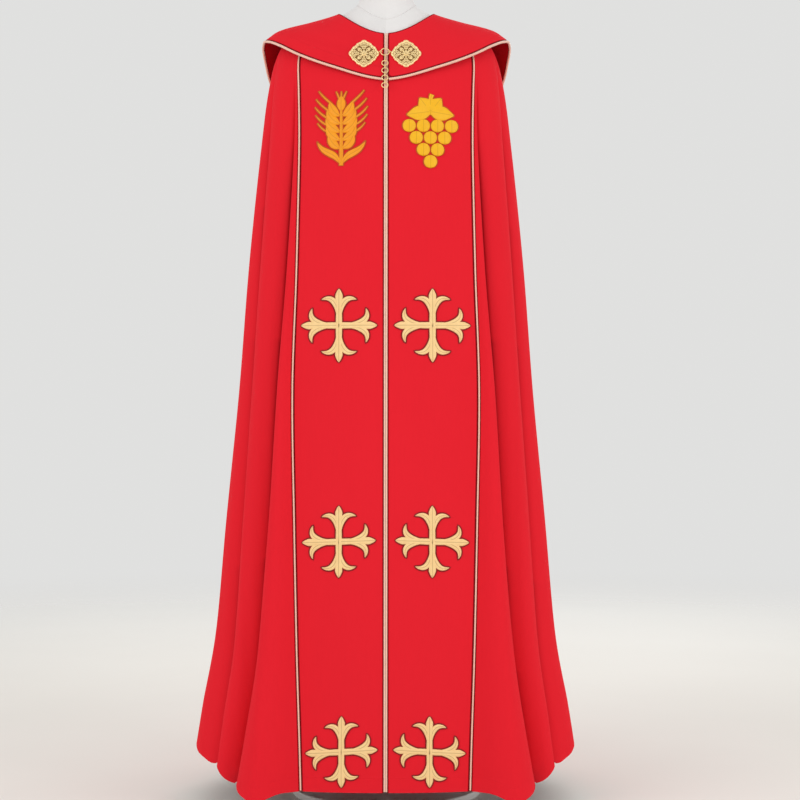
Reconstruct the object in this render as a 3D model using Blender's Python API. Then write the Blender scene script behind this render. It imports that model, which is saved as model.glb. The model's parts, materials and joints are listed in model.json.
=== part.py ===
"""A cope, the long open cloak of church dress, worn by a white dress form on a round-footed stand.

Metres, +Z up. The front faces -Y and the wearer's left side is at +X. The origin is the middle of
the stand's foot, on the floor. The cloth hangs from the form's shoulders and touches nothing else.

Every cloth surface is one function of two numbers: an angle round the body, 0 at the front middle
and pi at the back middle, and a height given as a place in the table of sections, 0 at the neckline.
"""

import math

import bmesh
import bpy
import numpy as np

# Thicknesses and clearances
CLOTH = 0.0018
COLLAR_CLOTH = 0.0025
SEAM_GAP = 0.0006
SEAT_GAP = 0.0010
TOUCH = 0.0003

# Cords and badges
EDGE_CORD_RADIUS = 0.0019
SEAM_CORD_RADIUS = 0.0017
COLLAR_CORD_RADIUS = 0.0026
BADGE_LIFT = 0.0007
BADGE_THICK = 0.0014

# One row for each section of the hanging cloth, from the neck down. Heights are above the floor at
# the front middle, the side and the back middle. width, front and back are half sizes in plan,
# square is the plan curve's exponent (2 is an ellipse), swing is how far the folds have opened,
# band is the half width of the two front bands and slit half the gap between their front edges.
SECTION_COLUMNS = ("name", "z_front", "z_side", "z_back", "width", "front", "back", "square", "swing", "band", "slit")
SECTIONS = (
    ("neckline", 1.514, 1.568, 1.572, 0.0960, 0.0900, 0.0680, 2.0, 0.00, 0.0760, 0.0058),
    ("slope", 1.482, 1.540, 1.540, 0.1500, 0.1080, 0.1020, 2.1, 0.00, 0.1240, 0.0052),
    ("tip", 1.446, 1.507, 1.490, 0.2085, 0.1290, 0.1300, 2.2, 0.00, 0.1680, 0.0050),
    ("cap", 1.420, 1.470, 1.440, 0.2260, 0.1425, 0.1450, 2.3, 0.05, 0.1720, 0.0049),
    ("arm", 1.390, 1.400, 1.390, 0.2390, 0.1540, 0.1560, 2.4, 0.11, 0.1700, 0.0048),
    ("chest", 1.290, 1.290, 1.290, 0.2505, 0.1700, 0.1760, 2.5, 0.19, 0.1680, 0.0046),
    ("waist", 1.050, 1.050, 1.050, 0.2720, 0.1914, 0.2050, 2.5, 0.34, 0.1720, 0.0044),
    ("hip", 0.800, 0.804, 0.800, 0.2880, 0.2136, 0.2350, 2.5, 0.49, 0.1790, 0.0043),
    ("thigh", 0.550, 0.558, 0.552, 0.3085, 0.2359, 0.2650, 2.5, 0.64, 0.1740, 0.0043),
    ("knee", 0.300, 0.314, 0.304, 0.3275, 0.2582, 0.2950, 2.5, 0.80, 0.1675, 0.0043),
    ("shin", 0.150, 0.174, 0.156, 0.3500, 0.2715, 0.3150, 2.5, 0.92, 0.1620, 0.0043),
    ("hem", 0.055, 0.090, 0.064, 0.3610, 0.2800, 0.3300, 2.5, 1.00, 0.1590, 0.0043),
)

# One row for each fold of a side, from the front band round to the back. A fold is a rounded lobe
# and the sharp valley behind it. The two shares place the valley between the band's seam (0) and
# the back middle (1), at the chest and at the hem. crest and valley are depths at the hem, round
# is the lobe's exponent (small is fuller), late how late it opens on its way down (1 is with
# the swing), drop is how much lower its hem hangs, and uneven is how much deeper the fold is on the
# +X side than on the other.
FOLD_COLUMNS = ("name", "share_chest", "share_hem", "crest", "valley", "round", "late", "drop", "uneven")
FOLDS = (
    ("front", 0.022, 0.188, 0.064, 0.040, 1.40, 1.7, 0.018, 0.02),
    ("side", 0.232, 0.286, 0.017, 0.042, 0.80, 0.8, 0.011, -0.03),
    ("rear_side", 0.467, 0.500, 0.030, 0.050, 0.70, 1.0, 0.002, -0.08),
    ("outer_back", 0.621, 0.634, 0.020, 0.052, 0.75, 1.0, 0.006, 0.10),
    ("middle_back", 0.752, 0.770, 0.026, 0.046, 0.75, 1.0, 0.008, -0.08),
    ("inner_back", 0.893, 0.888, 0.018, 0.042, 0.75, 1.0, 0.005, 0.00),
    ("centre_back", 1.107, 1.112, 0.026, 0.042, 0.75, 1.0, 0.000, 0.00),
)
# How each fold's hem runs, in shares of the fold's width: its drop comes on between the first two,
# and it lifts by so many metres between the last two, which rounds the lobe's lower corner.
HEM_COLUMNS = ("name", "drop_from", "drop_to", "lift", "lift_from", "lift_to")
HEM_LINE = (
    ("front", 0.15, 0.42, 0.022, 0.30, 0.95),
    ("side", 0.00, 0.12, 0.024, 0.05, 0.70),
    ("rear_side", 0.00, 0.12, 0.022, 0.10, 0.62),
    ("outer_back", 0.15, 0.42, 0.012, 0.50, 0.95),
    ("middle_back", 0.15, 0.42, 0.012, 0.50, 0.95),
    ("inner_back", 0.15, 0.42, 0.012, 0.50, 0.95),
    ("centre_back", 0.15, 0.42, 0.000, 0.50, 0.95),
)
LIFT_ENDS = 0.15

# The collar's outer edge: at each angle in degrees, the section it reaches down to and how far it
# stands off the cloth there. It juts past the shoulder at the sides and hangs as a hood behind.
COLLAR_COLUMNS = ("angle", "reach", "stand_off")
COLLAR_EDGE = (
    (0, 3.20, 0.0065),
    (25, 2.62, 0.009),
    (50, 2.42, 0.014),
    (66, 2.30, 0.021),
    (77, 2.27, 0.029),
    (88, 2.27, 0.036),
    (94, 2.38, 0.037),
    (100, 2.75, 0.031),
    (107, 3.20, 0.026),
    (116, 3.60, 0.024),
    (150, 4.62, 0.018),
    (180, 5.23, 0.013),
)

# The dress form below the shoulders it shares with the cloth, and its neck above, with the same
# columns as the cloth's sections.
FORM_COLUMNS = ("name", "z_front", "z_side", "z_back", "width", "front", "back", "square")
FORM_NECK = (
    ("cap", 1.6560, 1.6600, 1.6620, 0.0490, 0.0480, 0.0500, 2.0),
    ("neck_top", 1.6500, 1.6540, 1.6560, 0.0535, 0.0525, 0.0550, 2.0),
    ("neck_low", 1.5850, 1.6040, 1.6150, 0.0540, 0.0550, 0.0560, 2.0),
    ("neck_seam", 1.5480, 1.5880, 1.6000, 0.0610, 0.0670, 0.0590, 2.0),
    ("collar_bone", 1.5310, 1.5765, 1.5870, 0.0770, 0.0770, 0.0635, 2.0),
)
FORM_TORSO = (
    ("armhole", 1.4000, 1.4600, 1.4200, 0.2060, 0.1330, 0.1340, 2.3),
    ("chest", 1.3200, 1.3500, 1.3300, 0.1940, 0.1380, 0.1380, 2.3),
    ("ribs", 1.2100, 1.2200, 1.2100, 0.1720, 0.1260, 0.1220, 2.2),
    ("waist", 1.0800, 1.0800, 1.0800, 0.1550, 0.1130, 0.1060, 2.2),
    ("hip", 0.9200, 0.9200, 0.9200, 0.1700, 0.1200, 0.1270, 2.2),
    ("seat", 0.8300, 0.8300, 0.8300, 0.1700, 0.1160, 0.1260, 2.2),
    ("underside", 0.8000, 0.8000, 0.8000, 0.1620, 0.1090, 0.1190, 2.2),
)

# Rows and columns of the solids
CLOTH_ROWS = np.array([0, 0.5, 1, 1.5, 2, 2.5, 3, 4, 5, 6, 7, 8, 9, 9.5, 10, 10.5, 11])
COLUMNS_PER_FOLD = (6, 6, 8, 6, 6, 6, 3)
BAND_COLUMNS = 6
COLLAR_ROWS = 6
COLLAR_COLUMNS_PER_SIDE = 26
FORM_COLUMNS_AROUND = 48

# Stand
FOOT_RADIUS = 0.190
FOOT_HEIGHT = 0.014
HUB_RADIUS = 0.024
HUB_HEIGHT = 0.040
POLE_RADIUS = 0.0125
FLANGE_RADIUS = 0.055
FLANGE_HEIGHT = 0.006
ROUND_SEGMENTS = 32

# Clasp
PLATE_RADIUS = 0.0295
PLATE_OFFSET = 0.0412
PLATE_HEIGHT = 1.4685
CLASP_SHIFT = -0.0020
PLATE_THICK = 0.0022
WIRE = 0.0009
CLASP_RING = 0.0084
EYE = 0.0022
CHAIN_RING = 0.0060
CHAIN_LINK = 0.0053
FIRST_LINK = 0.0090
CHAIN_RINGS = 4
CHAIN_SLOPE = math.radians(28)
CHAIN_STAND_OFF = 0.0090

# Badges on the front bands: name, height of the middle, size beside the reaches
CROSS_ROWS = (("upper", 0.934, 1.025), ("middle", 0.522, 0.98), ("lower", 0.130, 0.95))
CROSS_REACH_ACROSS = 0.0715
CROSS_REACH_UP = 0.0685
MOTIF_HEIGHT = 1.314


def column(table, columns, name):
    return np.array([row[columns.index(name)] for row in table], float)


def smooth(knots, values, at):
    """A monotone cubic curve through the values: it never overshoots between two knots."""
    knots = np.asarray(knots, float)
    values = np.asarray(values, float)
    step = np.diff(knots)
    secant = np.diff(values) / step
    slope = np.empty_like(values)
    slope[0], slope[-1] = secant[0], secant[-1]
    both = secant[:-1] * secant[1:]
    weight_a = 2 * step[1:] + step[:-1]
    weight_b = step[1:] + 2 * step[:-1]
    safe_a = np.where(both > 0, secant[:-1], 1)
    safe_b = np.where(both > 0, secant[1:], 1)
    mean = (weight_a + weight_b) / (weight_a / safe_a + weight_b / safe_b)
    slope[1:-1] = np.where(both > 0, mean, 0)
    at = np.clip(np.asarray(at, float), knots[0], knots[-1])
    i = np.clip(np.searchsorted(knots, at, side="right") - 1, 0, len(step) - 1)
    t = (at - knots[i]) / step[i]
    start = (2 * t**3 - 3 * t**2 + 1) * values[i] + (t**3 - 2 * t**2 + t) * step[i] * slope[i]
    end = (3 * t**2 - 2 * t**3) * values[i + 1] + (t**3 - t**2) * step[i] * slope[i + 1]
    return start + end


def section(name, level):
    """One column of the section table at a place between its rows."""
    values = column(SECTIONS, SECTION_COLUMNS, name)
    return smooth(np.arange(len(values)), values, level)


def signed_power(base, exponent):
    return np.sign(base) * np.abs(base) ** exponent


def ring_point(angle, z_front, z_side, z_back, width, front, back, square, rise=1.8):
    """A point of a superellipse ring whose height runs from its front or back to its side."""
    s, c = np.sin(angle), np.cos(angle)
    power = 2 / square
    x = width * signed_power(s, power)
    y = -np.where(c > 0, front, back) * signed_power(c, power)
    z_end = np.where(c > 0, z_front, z_back)
    z = z_end + (z_side - z_end) * np.abs(s) ** rise
    return np.stack(np.broadcast_arrays(x, y, z), axis=-1)


def base_surface(angle, level):
    """The hanging cloth's outer face before its folds."""
    names = ("z_front", "z_side", "z_back", "width", "front", "back", "square")
    rise = 1.8 + 6 * section("swing", level) ** 3
    return ring_point(angle, *(section(n, level) for n in names), rise)


def angle_at(x, level):
    """The angle at which the base surface is x from the middle, in front."""
    share = np.abs(x) / section("width", level)
    return np.arcsin(np.clip(share, 0, 1) ** (section("square", level) / 2))


def seam_angle(level):
    """The seam between a front band and the mantle."""
    return angle_at(section("band", level), level)


def fade(value, start, end):
    """0 before start, 1 after end, and an easy slope between them: 3t^2 - 2t^3."""
    t = np.clip((value - start) / (end - start), 0, 1)
    return t * t * (3 - 2 * t)


def fold_depth(angle, level, side):
    """How far the folds push the cloth out (or in) and down: lobes with sharp valleys between."""
    angle = np.where(angle > math.pi, 2 * math.pi - angle, angle)
    seam = seam_angle(level)
    share = (angle - seam) / (math.pi - seam)
    swing = section("swing", level)
    out = np.zeros(np.broadcast(share, swing).shape)
    down = np.zeros_like(out)
    last_valley, last_share, last_lift = 0.0, 0.0, 0.0
    for fold, hem in zip(FOLDS, HEM_LINE):
        _, share_chest, share_hem, crest, valley, power, late, drop, uneven = fold
        _, drop_from, drop_to, lift, lift_from, lift_to = hem
        opened = swing**late
        here = share_chest + (share_hem - share_chest) * opened
        depth = valley * (1 + side * uneven) * opened
        t = np.clip((share - last_share) / (here - last_share), 0, 1)
        inside = (share > last_share) & (share <= here)
        bulge = 4 * t * (1 - t)
        lobe = crest * (1 + side * uneven) * opened * bulge**power
        lobe = lobe - last_valley * (1 - t) ** 3 - depth * t**3
        out = np.where(inside, lobe, out)
        lower = drop * fade(t, drop_from, drop_to) * (1 - t**3)
        higher = lift * fade(t, lift_from, lift_to) + last_lift * (1 - fade(t, 0, LIFT_ENDS))
        down = np.where(inside, lower - higher, down)
        last_valley, last_share, last_lift = depth, here, lift
    return out, down * swing**4


def plan_normal(angle, level):
    """The outward direction in plan of the base ring."""
    step = 1e-4
    tangent = base_surface(angle + step, level) - base_surface(angle - step, level)
    across = np.stack([tangent[..., 1], -tangent[..., 0]], axis=-1)
    return across / np.linalg.norm(across, axis=-1, keepdims=True)


def cloth(angle, level, side=1):
    """The cope's outer face with its folds, for the half at +X. side is 1, or -1 for the other half's folds."""
    points = base_surface(angle, level).copy()
    out, down = fold_depth(angle, level, side)
    points[..., :2] += plan_normal(angle, level) * out[..., None]
    points[..., 2] -= down
    return points


def normals(surface, a, b):
    """The surface's outward unit normals, from small steps either way."""
    step = 1e-4
    along_a = surface(a + step, b) - surface(a - step, b)
    along_b = surface(a, b + step) - surface(a, np.maximum(b - step, 0))
    out = np.cross(along_b, along_a)
    return out / np.linalg.norm(out, axis=-1, keepdims=True)


def offset(surface, a, b, distance):
    """Points of a surface moved out along its normals."""
    distance = np.asarray(distance, float)[..., None]
    return surface(a, b) + normals(surface, a, b) * distance


def collar_level(angle, across):
    """The section that a point of the collar lies over: across runs from the neck, 0, to the edge, 1."""
    degrees = np.degrees(np.where(angle > math.pi, 2 * math.pi - angle, angle))
    reach = smooth(
        column(COLLAR_EDGE, COLLAR_COLUMNS, "angle"),
        column(COLLAR_EDGE, COLLAR_COLUMNS, "reach"),
        degrees,
    )
    return reach * across


def collar(angle, across):
    """The collar's outer face: the base cloth moved out, more and more towards the edge."""
    degrees = np.degrees(np.where(angle > math.pi, 2 * math.pi - angle, angle))
    edge = smooth(
        column(COLLAR_EDGE, COLLAR_COLUMNS, "angle"),
        column(COLLAR_EDGE, COLLAR_COLUMNS, "stand_off"),
        degrees,
    )
    at_neck = SEAT_GAP + COLLAR_CLOTH
    lift = at_neck + (edge - at_neck) * np.abs(across) ** 1.3
    return offset(base_surface, angle, collar_level(angle, across), lift)


def find_on(surface, x, z, a, b):
    """The two parameters at which a surface has this x and z, by Newton's method."""
    a = np.full(np.shape(x), float(a))
    b = np.full(np.shape(x), float(b))
    step = 1e-4
    for _ in range(25):
        here = surface(a, b)
        by_a = (surface(a + step, b) - here) / step
        by_b = (surface(a, b + step) - here) / step
        miss_x, miss_z = x - here[..., 0], z - here[..., 2]
        det = by_a[..., 0] * by_b[..., 2] - by_b[..., 0] * by_a[..., 2]
        a = a + np.clip((miss_x * by_b[..., 2] - miss_z * by_b[..., 0]) / det, -0.1, 0.1)
        b = b + np.clip((miss_z * by_a[..., 0] - miss_x * by_a[..., 2]) / det, -0.3, 0.3)
        a = np.clip(a, 0.002, math.pi / 2)
        b = np.maximum(b, 0)
    return a, b


def material(name, colour, roughness, metallic=0.0):
    made = bpy.data.materials.new(name)
    made.use_nodes = True
    shader = made.node_tree.nodes["Principled BSDF"]
    shader.inputs["Base Color"].default_value = (*colour, 1)
    shader.inputs["Roughness"].default_value = roughness
    shader.inputs["Metallic"].default_value = metallic
    return made


def add_object(name, data, finish):
    made = bpy.data.objects.new(name, data)
    bpy.context.scene.collection.objects.link(made)
    made.data.materials.append(finish)
    return made


def mesh_object(name, points, faces, finish, smooth_angle=40):
    mesh = bpy.data.meshes.new(name)
    mesh.from_pydata([tuple(p) for p in np.reshape(points, (-1, 3))], [], faces)
    mesh.shade_smooth()
    mesh.set_sharp_from_angle(angle=math.radians(smooth_angle))
    return add_object(name, mesh, finish)


def grid_faces(rows, columns):
    """Triangles of a grid, all cut along the same diagonal."""
    faces = []
    for i in range(rows - 1):
        for j in range(columns - 1):
            a, b = i * columns + j, (i + 1) * columns + j
            faces += [(a, b, b + 1), (a, b + 1, a + 1)]
    return faces


def mirrored(points, side):
    return points * np.array([side, 1, 1])


def cloth_wall(name, surface, a, b, side, thickness, finish):
    """A wall of cloth: a grid of a surface's points, the same grid moved in, and a rim between them."""
    outer = mirrored(surface(a, b), side)
    inner = mirrored(offset(surface, a, b, np.full(np.shape(a), -thickness)), side)
    rows, columns = a.shape
    count = rows * columns
    faces = grid_faces(rows, columns)
    faces += [(n + count, m + count, k + count) for k, m, n in faces]
    rim = [(0, j) for j in range(columns)]
    rim += [(i, columns - 1) for i in range(1, rows)]
    rim += [(rows - 1, j) for j in range(columns - 2, -1, -1)]
    rim += [(i, 0) for i in range(rows - 2, 0, -1)]
    rim = [i * columns + j for i, j in rim]
    for k, m in zip(rim, rim[1:] + rim[:1]):
        faces += [(k, m, m + count), (k, m + count, k + count)]
    if side < 0:
        faces = [face[::-1] for face in faces]
    points = np.concatenate([outer.reshape(-1, 3), inner.reshape(-1, 3)])
    return mesh_object(name, points, faces, finish, smooth_angle=50)


def mantle_angles(level):
    """Angles of the mantle's columns at a level: each fold has its own, closer together at its valleys."""
    seam = seam_angle(level)
    swing = section("swing", level)
    shares, last = [], 0.0
    for count, fold in zip(COLUMNS_PER_FOLD, FOLDS):
        here = fold[1] + (fold[2] - fold[1]) * swing ** fold[6]
        centre_lobe = fold is FOLDS[-1]
        steps = np.linspace(0, 0.5 if centre_lobe else 1, count + 1)
        eased = (1 - np.cos(math.pi * steps)) / 2
        shares.extend(last + (here - last) * eased[:-1])
        last = here
    shares.append(1.0)
    angles = seam + (math.pi - seam) * np.array(shares)
    radius = section("width", level)
    angles[0] += SEAM_GAP / 2 / radius
    angles[-1] -= (SEAM_GAP / 2 / radius) ** (section("square", level) / 2)
    return angles


def make_mantle(side, name, finish):
    angles = np.array([mantle_angles(level) for level in CLOTH_ROWS])
    levels = np.repeat(CLOTH_ROWS[:, None], angles.shape[1], axis=1)
    return cloth_wall(name, lambda a, b: cloth(a, b, side), angles, levels, side, CLOTH, finish)


def band_cells():
    """Angles and levels of the front band's columns and rows, at +X."""
    levels = np.repeat(CLOTH_ROWS[:, None], BAND_COLUMNS + 1, axis=1)
    inner, outer = band_limits(levels)
    xs = inner + (outer - inner) * np.linspace(0, 1, BAND_COLUMNS + 1)
    return angle_at(xs, levels), levels


def collar_start(across):
    """The angle of the collar's front edge."""
    level = collar_level(np.zeros_like(across), across)
    return angle_at(section("slit", level) + TOUCH, level)


def collar_cells():
    """Angles and shares of the collar from its edge at +X, round behind the neck, to its other edge."""
    ease = np.linspace(0, 1, COLLAR_COLUMNS_PER_SIDE + 1)
    across = np.linspace(0, 1, COLLAR_ROWS + 1)[:, None]
    start = collar_start(across)
    half = start + (math.pi - start) * ease
    angles = np.concatenate([half, 2 * math.pi - half[:, -2::-1]], axis=1)
    return angles, np.repeat(across, angles.shape[1], axis=1)


def cord(name, path, radius, finish, closed=False):
    """A round cord or wire along points: a curve with a bevel, capped where it has ends."""
    curve = bpy.data.curves.new(name, "CURVE")
    curve.dimensions = "3D"
    curve.bevel_depth = radius
    curve.bevel_resolution = 1
    curve.use_fill_caps = True
    spline = curve.splines.new("POLY")
    spline.points.add(len(path) - 1)
    spline.points.foreach_set("co", np.column_stack([path, np.ones(len(path))]).ravel())
    spline.use_cyclic_u = closed
    spline.use_smooth = True
    return add_object(name, curve, finish)


def make_edge_cord(side, name, finish):
    """The cord along a front edge, beside the band from the neck to the hem."""
    levels = CLOTH_ROWS[:-1].tolist() + [10.98]
    levels[0] = 0.02
    level = np.array(levels)
    x = section("slit", level) - TOUCH - EDGE_CORD_RADIUS
    path = base_surface(angle_at(x, level), level)
    return cord(name, mirrored(path, side), EDGE_CORD_RADIUS, finish)


def make_seam_cord(side, name, finish):
    """The cord over the seam between band and mantle, from under the collar to the hem."""
    level = np.concatenate([[2.05], CLOTH_ROWS[CLOTH_ROWS > 2][:-1], [10.98]])
    angle = seam_angle(level)
    lift = SEAM_CORD_RADIUS + 2 * TOUCH
    path = offset(lambda a, b: cloth(a, b, side), angle, level, np.full(len(level), lift))
    return cord(name, mirrored(path, side), SEAM_CORD_RADIUS, finish)


def make_collar_cord(finish):
    """The twisted cord along the collar's whole outer edge."""
    grid = collar(*collar_cells())
    edge = grid[-1].copy()
    edge[0] = (edge[0] + edge[1] * 0.3) / 1.3
    edge[-1] = (edge[-1] + edge[-2] * 0.3) / 1.3
    inwards = grid[-2] - grid[-1]
    along = np.gradient(edge, axis=0)
    up = np.cross(along, inwards)
    up *= np.sign(up[:, 2:] + up[:, 1:2] * np.sign(edge[:, 1:2]))
    up /= np.linalg.norm(up, axis=1, keepdims=True)
    outward = np.cross(along, up)
    outward /= np.linalg.norm(outward, axis=1, keepdims=True)
    outward *= -np.sign(np.sum(outward * inwards, axis=1, keepdims=True))
    path = edge + outward * (COLLAR_CORD_RADIUS + 2 * TOUCH) - up * COLLAR_CLOTH / 2
    return cord("collar_cord", path, COLLAR_CORD_RADIUS, finish)


def flat_outline(outline):
    """A flat face inside an outline given in columns and rows of a grid, cut along the grid's lines."""
    outline = np.asarray(outline)
    shape = bmesh.new()
    corners = [shape.verts.new((u, r, 0)) for u, r in outline]
    shape.faces.new(corners)
    for axis in (0, 1):
        low, high = outline[:, axis].min(), outline[:, axis].max()
        for line in range(math.ceil(low), math.floor(high) + 1):
            geometry = shape.verts[:] + shape.edges[:] + shape.faces[:]
            place = [0, 0, 0]
            place[axis] = line
            across = [0, 0, 0]
            across[axis] = 1
            bmesh.ops.bisect_plane(shape, geom=geometry, dist=1e-4, plane_co=place, plane_no=across)
    bmesh.ops.triangulate(shape, faces=shape.faces[:])
    return shape


def on_facets(grid, u, r):
    """The point of a panel's flat triangles at a column and row, whole numbers being its corners."""
    j = np.clip(np.floor(u).astype(int), 0, grid.shape[1] - 2)
    i = np.clip(np.floor(r).astype(int), 0, grid.shape[0] - 2)
    across, down = (u - j)[:, None], (r - i)[:, None]
    here, below = grid[i, j], grid[i + 1, j]
    beside, beyond = grid[i, j + 1], grid[i + 1, j + 1]
    lower = here + down * (below - here) + across * (beyond - below)
    upper = here + across * (beside - here) + down * (beyond - beside)
    return np.where(down >= across, lower, upper)


def badge(name, outline, side, to_cell, to_point, thickness, finish):
    """An applique: an outline in X and Z laid over a panel's triangles and thickened outwards."""
    outline = np.asarray(outline)
    u, r = to_cell(outline[:, 0] * side, outline[:, 1])
    shape = flat_outline(np.column_stack([u, r]))
    flat = np.array([vertex.co for vertex in shape.verts])
    placed = mirrored(to_point(flat[:, 0], flat[:, 1]), side)
    for vertex, point in zip(shape.verts, placed):
        vertex.co = point
    shape.normal_update()
    if sum(face.normal.y * face.calc_area() for face in shape.faces) > 0:
        bmesh.ops.reverse_faces(shape, faces=shape.faces[:])
    mesh = bpy.data.meshes.new(name)
    shape.to_mesh(mesh)
    shape.free()
    mesh.shade_flat()
    made = add_object(name, mesh, finish)
    wall = made.modifiers.new("wall", "SOLIDIFY")
    wall.thickness = thickness
    wall.offset = 1
    return made


def band_limits(level):
    return section("slit", level), section("band", level) - SEAM_GAP / 2


def band_cell(middle_z):
    """Turns distances from a badge's middle into columns and rows of the front band."""
    heights = -column(SECTIONS, SECTION_COLUMNS, "z_front")
    start = float(np.interp(-middle_z, heights, np.arange(len(heights))))

    def to_cell(x, z):
        x = x + band_middle(middle_z)
        _, level = find_on(base_surface, x, z + middle_z, 0.4, start)
        inner, outer = band_limits(level)
        row = np.interp(level, CLOTH_ROWS, np.arange(len(CLOTH_ROWS)))
        return (x - inner) / (outer - inner) * BAND_COLUMNS, row

    return to_cell


def band_point(u, r):
    """The point over the band at a column and row."""
    level = np.interp(r, np.arange(len(CLOTH_ROWS)), CLOTH_ROWS)
    inner, outer = band_limits(level)
    angle = angle_at(inner + u / BAND_COLUMNS * (outer - inner), level)
    return on_facets(base_surface(*band_cells()), u, r) + normals(base_surface, angle, level) * BADGE_LIFT


def band_middle(height):
    heights = column(SECTIONS, SECTION_COLUMNS, "z_front")[::-1]
    half_width = np.interp(height, heights, column(SECTIONS, SECTION_COLUMNS, "band")[::-1])
    return half_width / 2 + 0.002


# Half of one cross arm, from the crossing outwards: distance along the arm and half width there.
CROSS_ARM = (
    (0.09, 0.085),
    (0.50, 0.100),
    (0.65, 0.235),
    (0.72, 0.450),
    (0.81, 0.400),
    (0.84, 0.230),
    (0.78, 0.090),
    (0.89, 0.080),
    (1.00, 0.000),
)


def cross_outline(size):
    """Four arms that flare and end in a point between two curls."""
    points = []
    for quarter in range(4):
        turn = quarter * math.pi / 2
        upper = list(CROSS_ARM)
        lower = [(along, -wide) for along, wide in reversed(upper[:-1])]
        for along, wide in reversed(upper + lower):
            x = along * math.cos(turn) - wide * math.sin(turn)
            z = along * math.sin(turn) + wide * math.cos(turn)
            points.append((x * CROSS_REACH_ACROSS * size, z * CROSS_REACH_UP * size))
    kept = [points[0]]
    for point in points[1:]:
        if math.dist(point, kept[-1]) > 0.002:
            kept.append(point)
    return kept


def wheat_outline():
    """An ear of wheat: pairs of broad pointed grains up a stem, with one grain on top."""
    half = [(0.0, -0.070), (0.0060, -0.067), (0.0050, -0.047)]
    for foot, reach in ((-0.047, 0.036), (-0.026, 0.050), (-0.005, 0.056), (0.016, 0.048)):
        half += [(0.020, foot), (reach, foot + 0.013), (reach + 0.005, foot + 0.033), (0.019, foot + 0.0185)]
    half += [(0.013, 0.047), (0.012, 0.062), (0.0, 0.072)]
    left = [(-x, z) for x, z in reversed(half[1:-1])]
    return half + left


def grape_outline():
    """A bunch of grapes under a leaf: the outer limit of round berries and lobes, seen from the middle."""
    berry = 0.0165
    rounds = []
    for row, count in enumerate((4, 3, 2, 1)):
        for i in range(count):
            x = (i - (count - 1) / 2) * berry * 1.75
            rounds.append((x, 0.006 - row * berry * 1.28, berry))
    rounds += [(0.0, 0.060, 0.009), (0.0, 0.040, 0.020)]
    for side in (-1, 1):
        rounds += [(side * 0.028, 0.040, 0.020), (side * 0.048, 0.034, 0.015)]
    centres = np.array(rounds)[:, :2]
    radii = np.array(rounds)[:, 2]
    outline = []
    for turn in np.linspace(0, 2 * math.pi, 64, endpoint=False):
        ray = np.array([math.cos(turn), math.sin(turn)])
        along = centres @ ray
        aside = centres @ np.array([-ray[1], ray[0]])
        hit = np.abs(aside) < radii
        reach = np.max(along[hit] + np.sqrt(radii[hit] ** 2 - aside[hit] ** 2))
        outline.append(tuple(ray * reach))
    return outline


def plate_outline():
    """A clasp plate: a square on its point with soft corners and scalloped sides."""
    corner = 1.32
    outline = []
    for turn in np.linspace(0, 2 * math.pi, 48, endpoint=False):
        reach = (abs(math.cos(turn)) ** corner + abs(math.sin(turn)) ** corner) ** (-1 / corner)
        reach *= PLATE_RADIUS * (1 + 0.022 * math.cos(12 * turn))
        outline.append((reach * math.cos(turn), reach * math.sin(turn)))
    return outline


def collar_cell(side):
    """Turns distances from a clasp plate's middle into columns and rows of the collar."""

    def to_cell(x, z):
        angle, across = find_on(collar, x + PLATE_OFFSET + side * CLASP_SHIFT, z + PLATE_HEIGHT, 0.5, 0.5)
        start = collar_start(across)
        return (angle - start) / (math.pi - start) * COLLAR_COLUMNS_PER_SIDE, across * COLLAR_ROWS

    return to_cell


def collar_point(u, r):
    """The point over the collar at a column and row."""
    across = r / COLLAR_ROWS
    start = collar_start(across)
    angle = start + u / COLLAR_COLUMNS_PER_SIDE * (math.pi - start)
    return on_facets(collar(*collar_cells()), u, r) + normals(collar, angle, across) * TOUCH * 1.5


def wire_loop(name, centre, across, along, half_across, half_along, finish, segments=12):
    """A closed wire link: an oval in the plane of two directions."""
    turn = np.linspace(0, 2 * math.pi, segments, endpoint=False)[:, None]
    path = centre + np.cos(turn) * across * half_across + np.sin(turn) * along * half_along
    return cord(name, path, WIRE, finish, closed=True)


def make_clasp(finish):
    """Two plates, the eyes beside them, the ring between and the chain that hangs from it."""
    for side, word in ((1, "right"), (-1, "left")):
        badge(f"clasp_plate_{word}", plate_outline(), side, collar_cell(side), collar_point, PLATE_THICK, finish)
    sideways = np.array([1.0, 0.0, 0.0])
    down = np.array([0.0, -math.sin(CHAIN_SLOPE), -math.cos(CHAIN_SLOPE)])
    out = np.array([0.0, -math.cos(CHAIN_SLOPE), math.sin(CHAIN_SLOPE)])
    a, b = find_on(base_surface, np.array([0.006]), np.array([PLATE_HEIGHT]), 0.05, 1.5)
    centre = base_surface(a, b)[0] * np.array([0, 1, 1]) + out * CHAIN_STAND_OFF + sideways * CLASP_SHIFT
    wire_loop("clasp_ring", centre, sideways, down, CLASP_RING, CLASP_RING, finish, 16)
    for side, word in ((1, "right"), (-1, "left")):
        eye = centre + sideways * side * CLASP_RING
        wire_loop(f"clasp_eye_{word}", eye, sideways, out, EYE, EYE, finish, 8)
    clear = 2 * WIRE + 2 * TOUCH
    hang = CLASP_RING
    for number in range(1, CHAIN_RINGS + 1):
        link = FIRST_LINK if number == 1 else CHAIN_LINK
        hang += link - clear
        wire_loop(f"chain_link_{number}", centre + down * hang, out, down, 0.0034, link, finish)
        hang += link - clear + CHAIN_RING
        wire_loop(f"chain_ring_{number}", centre + down * hang, sideways, down, CHAIN_RING, CHAIN_RING, finish)
        hang += CHAIN_RING


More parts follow.
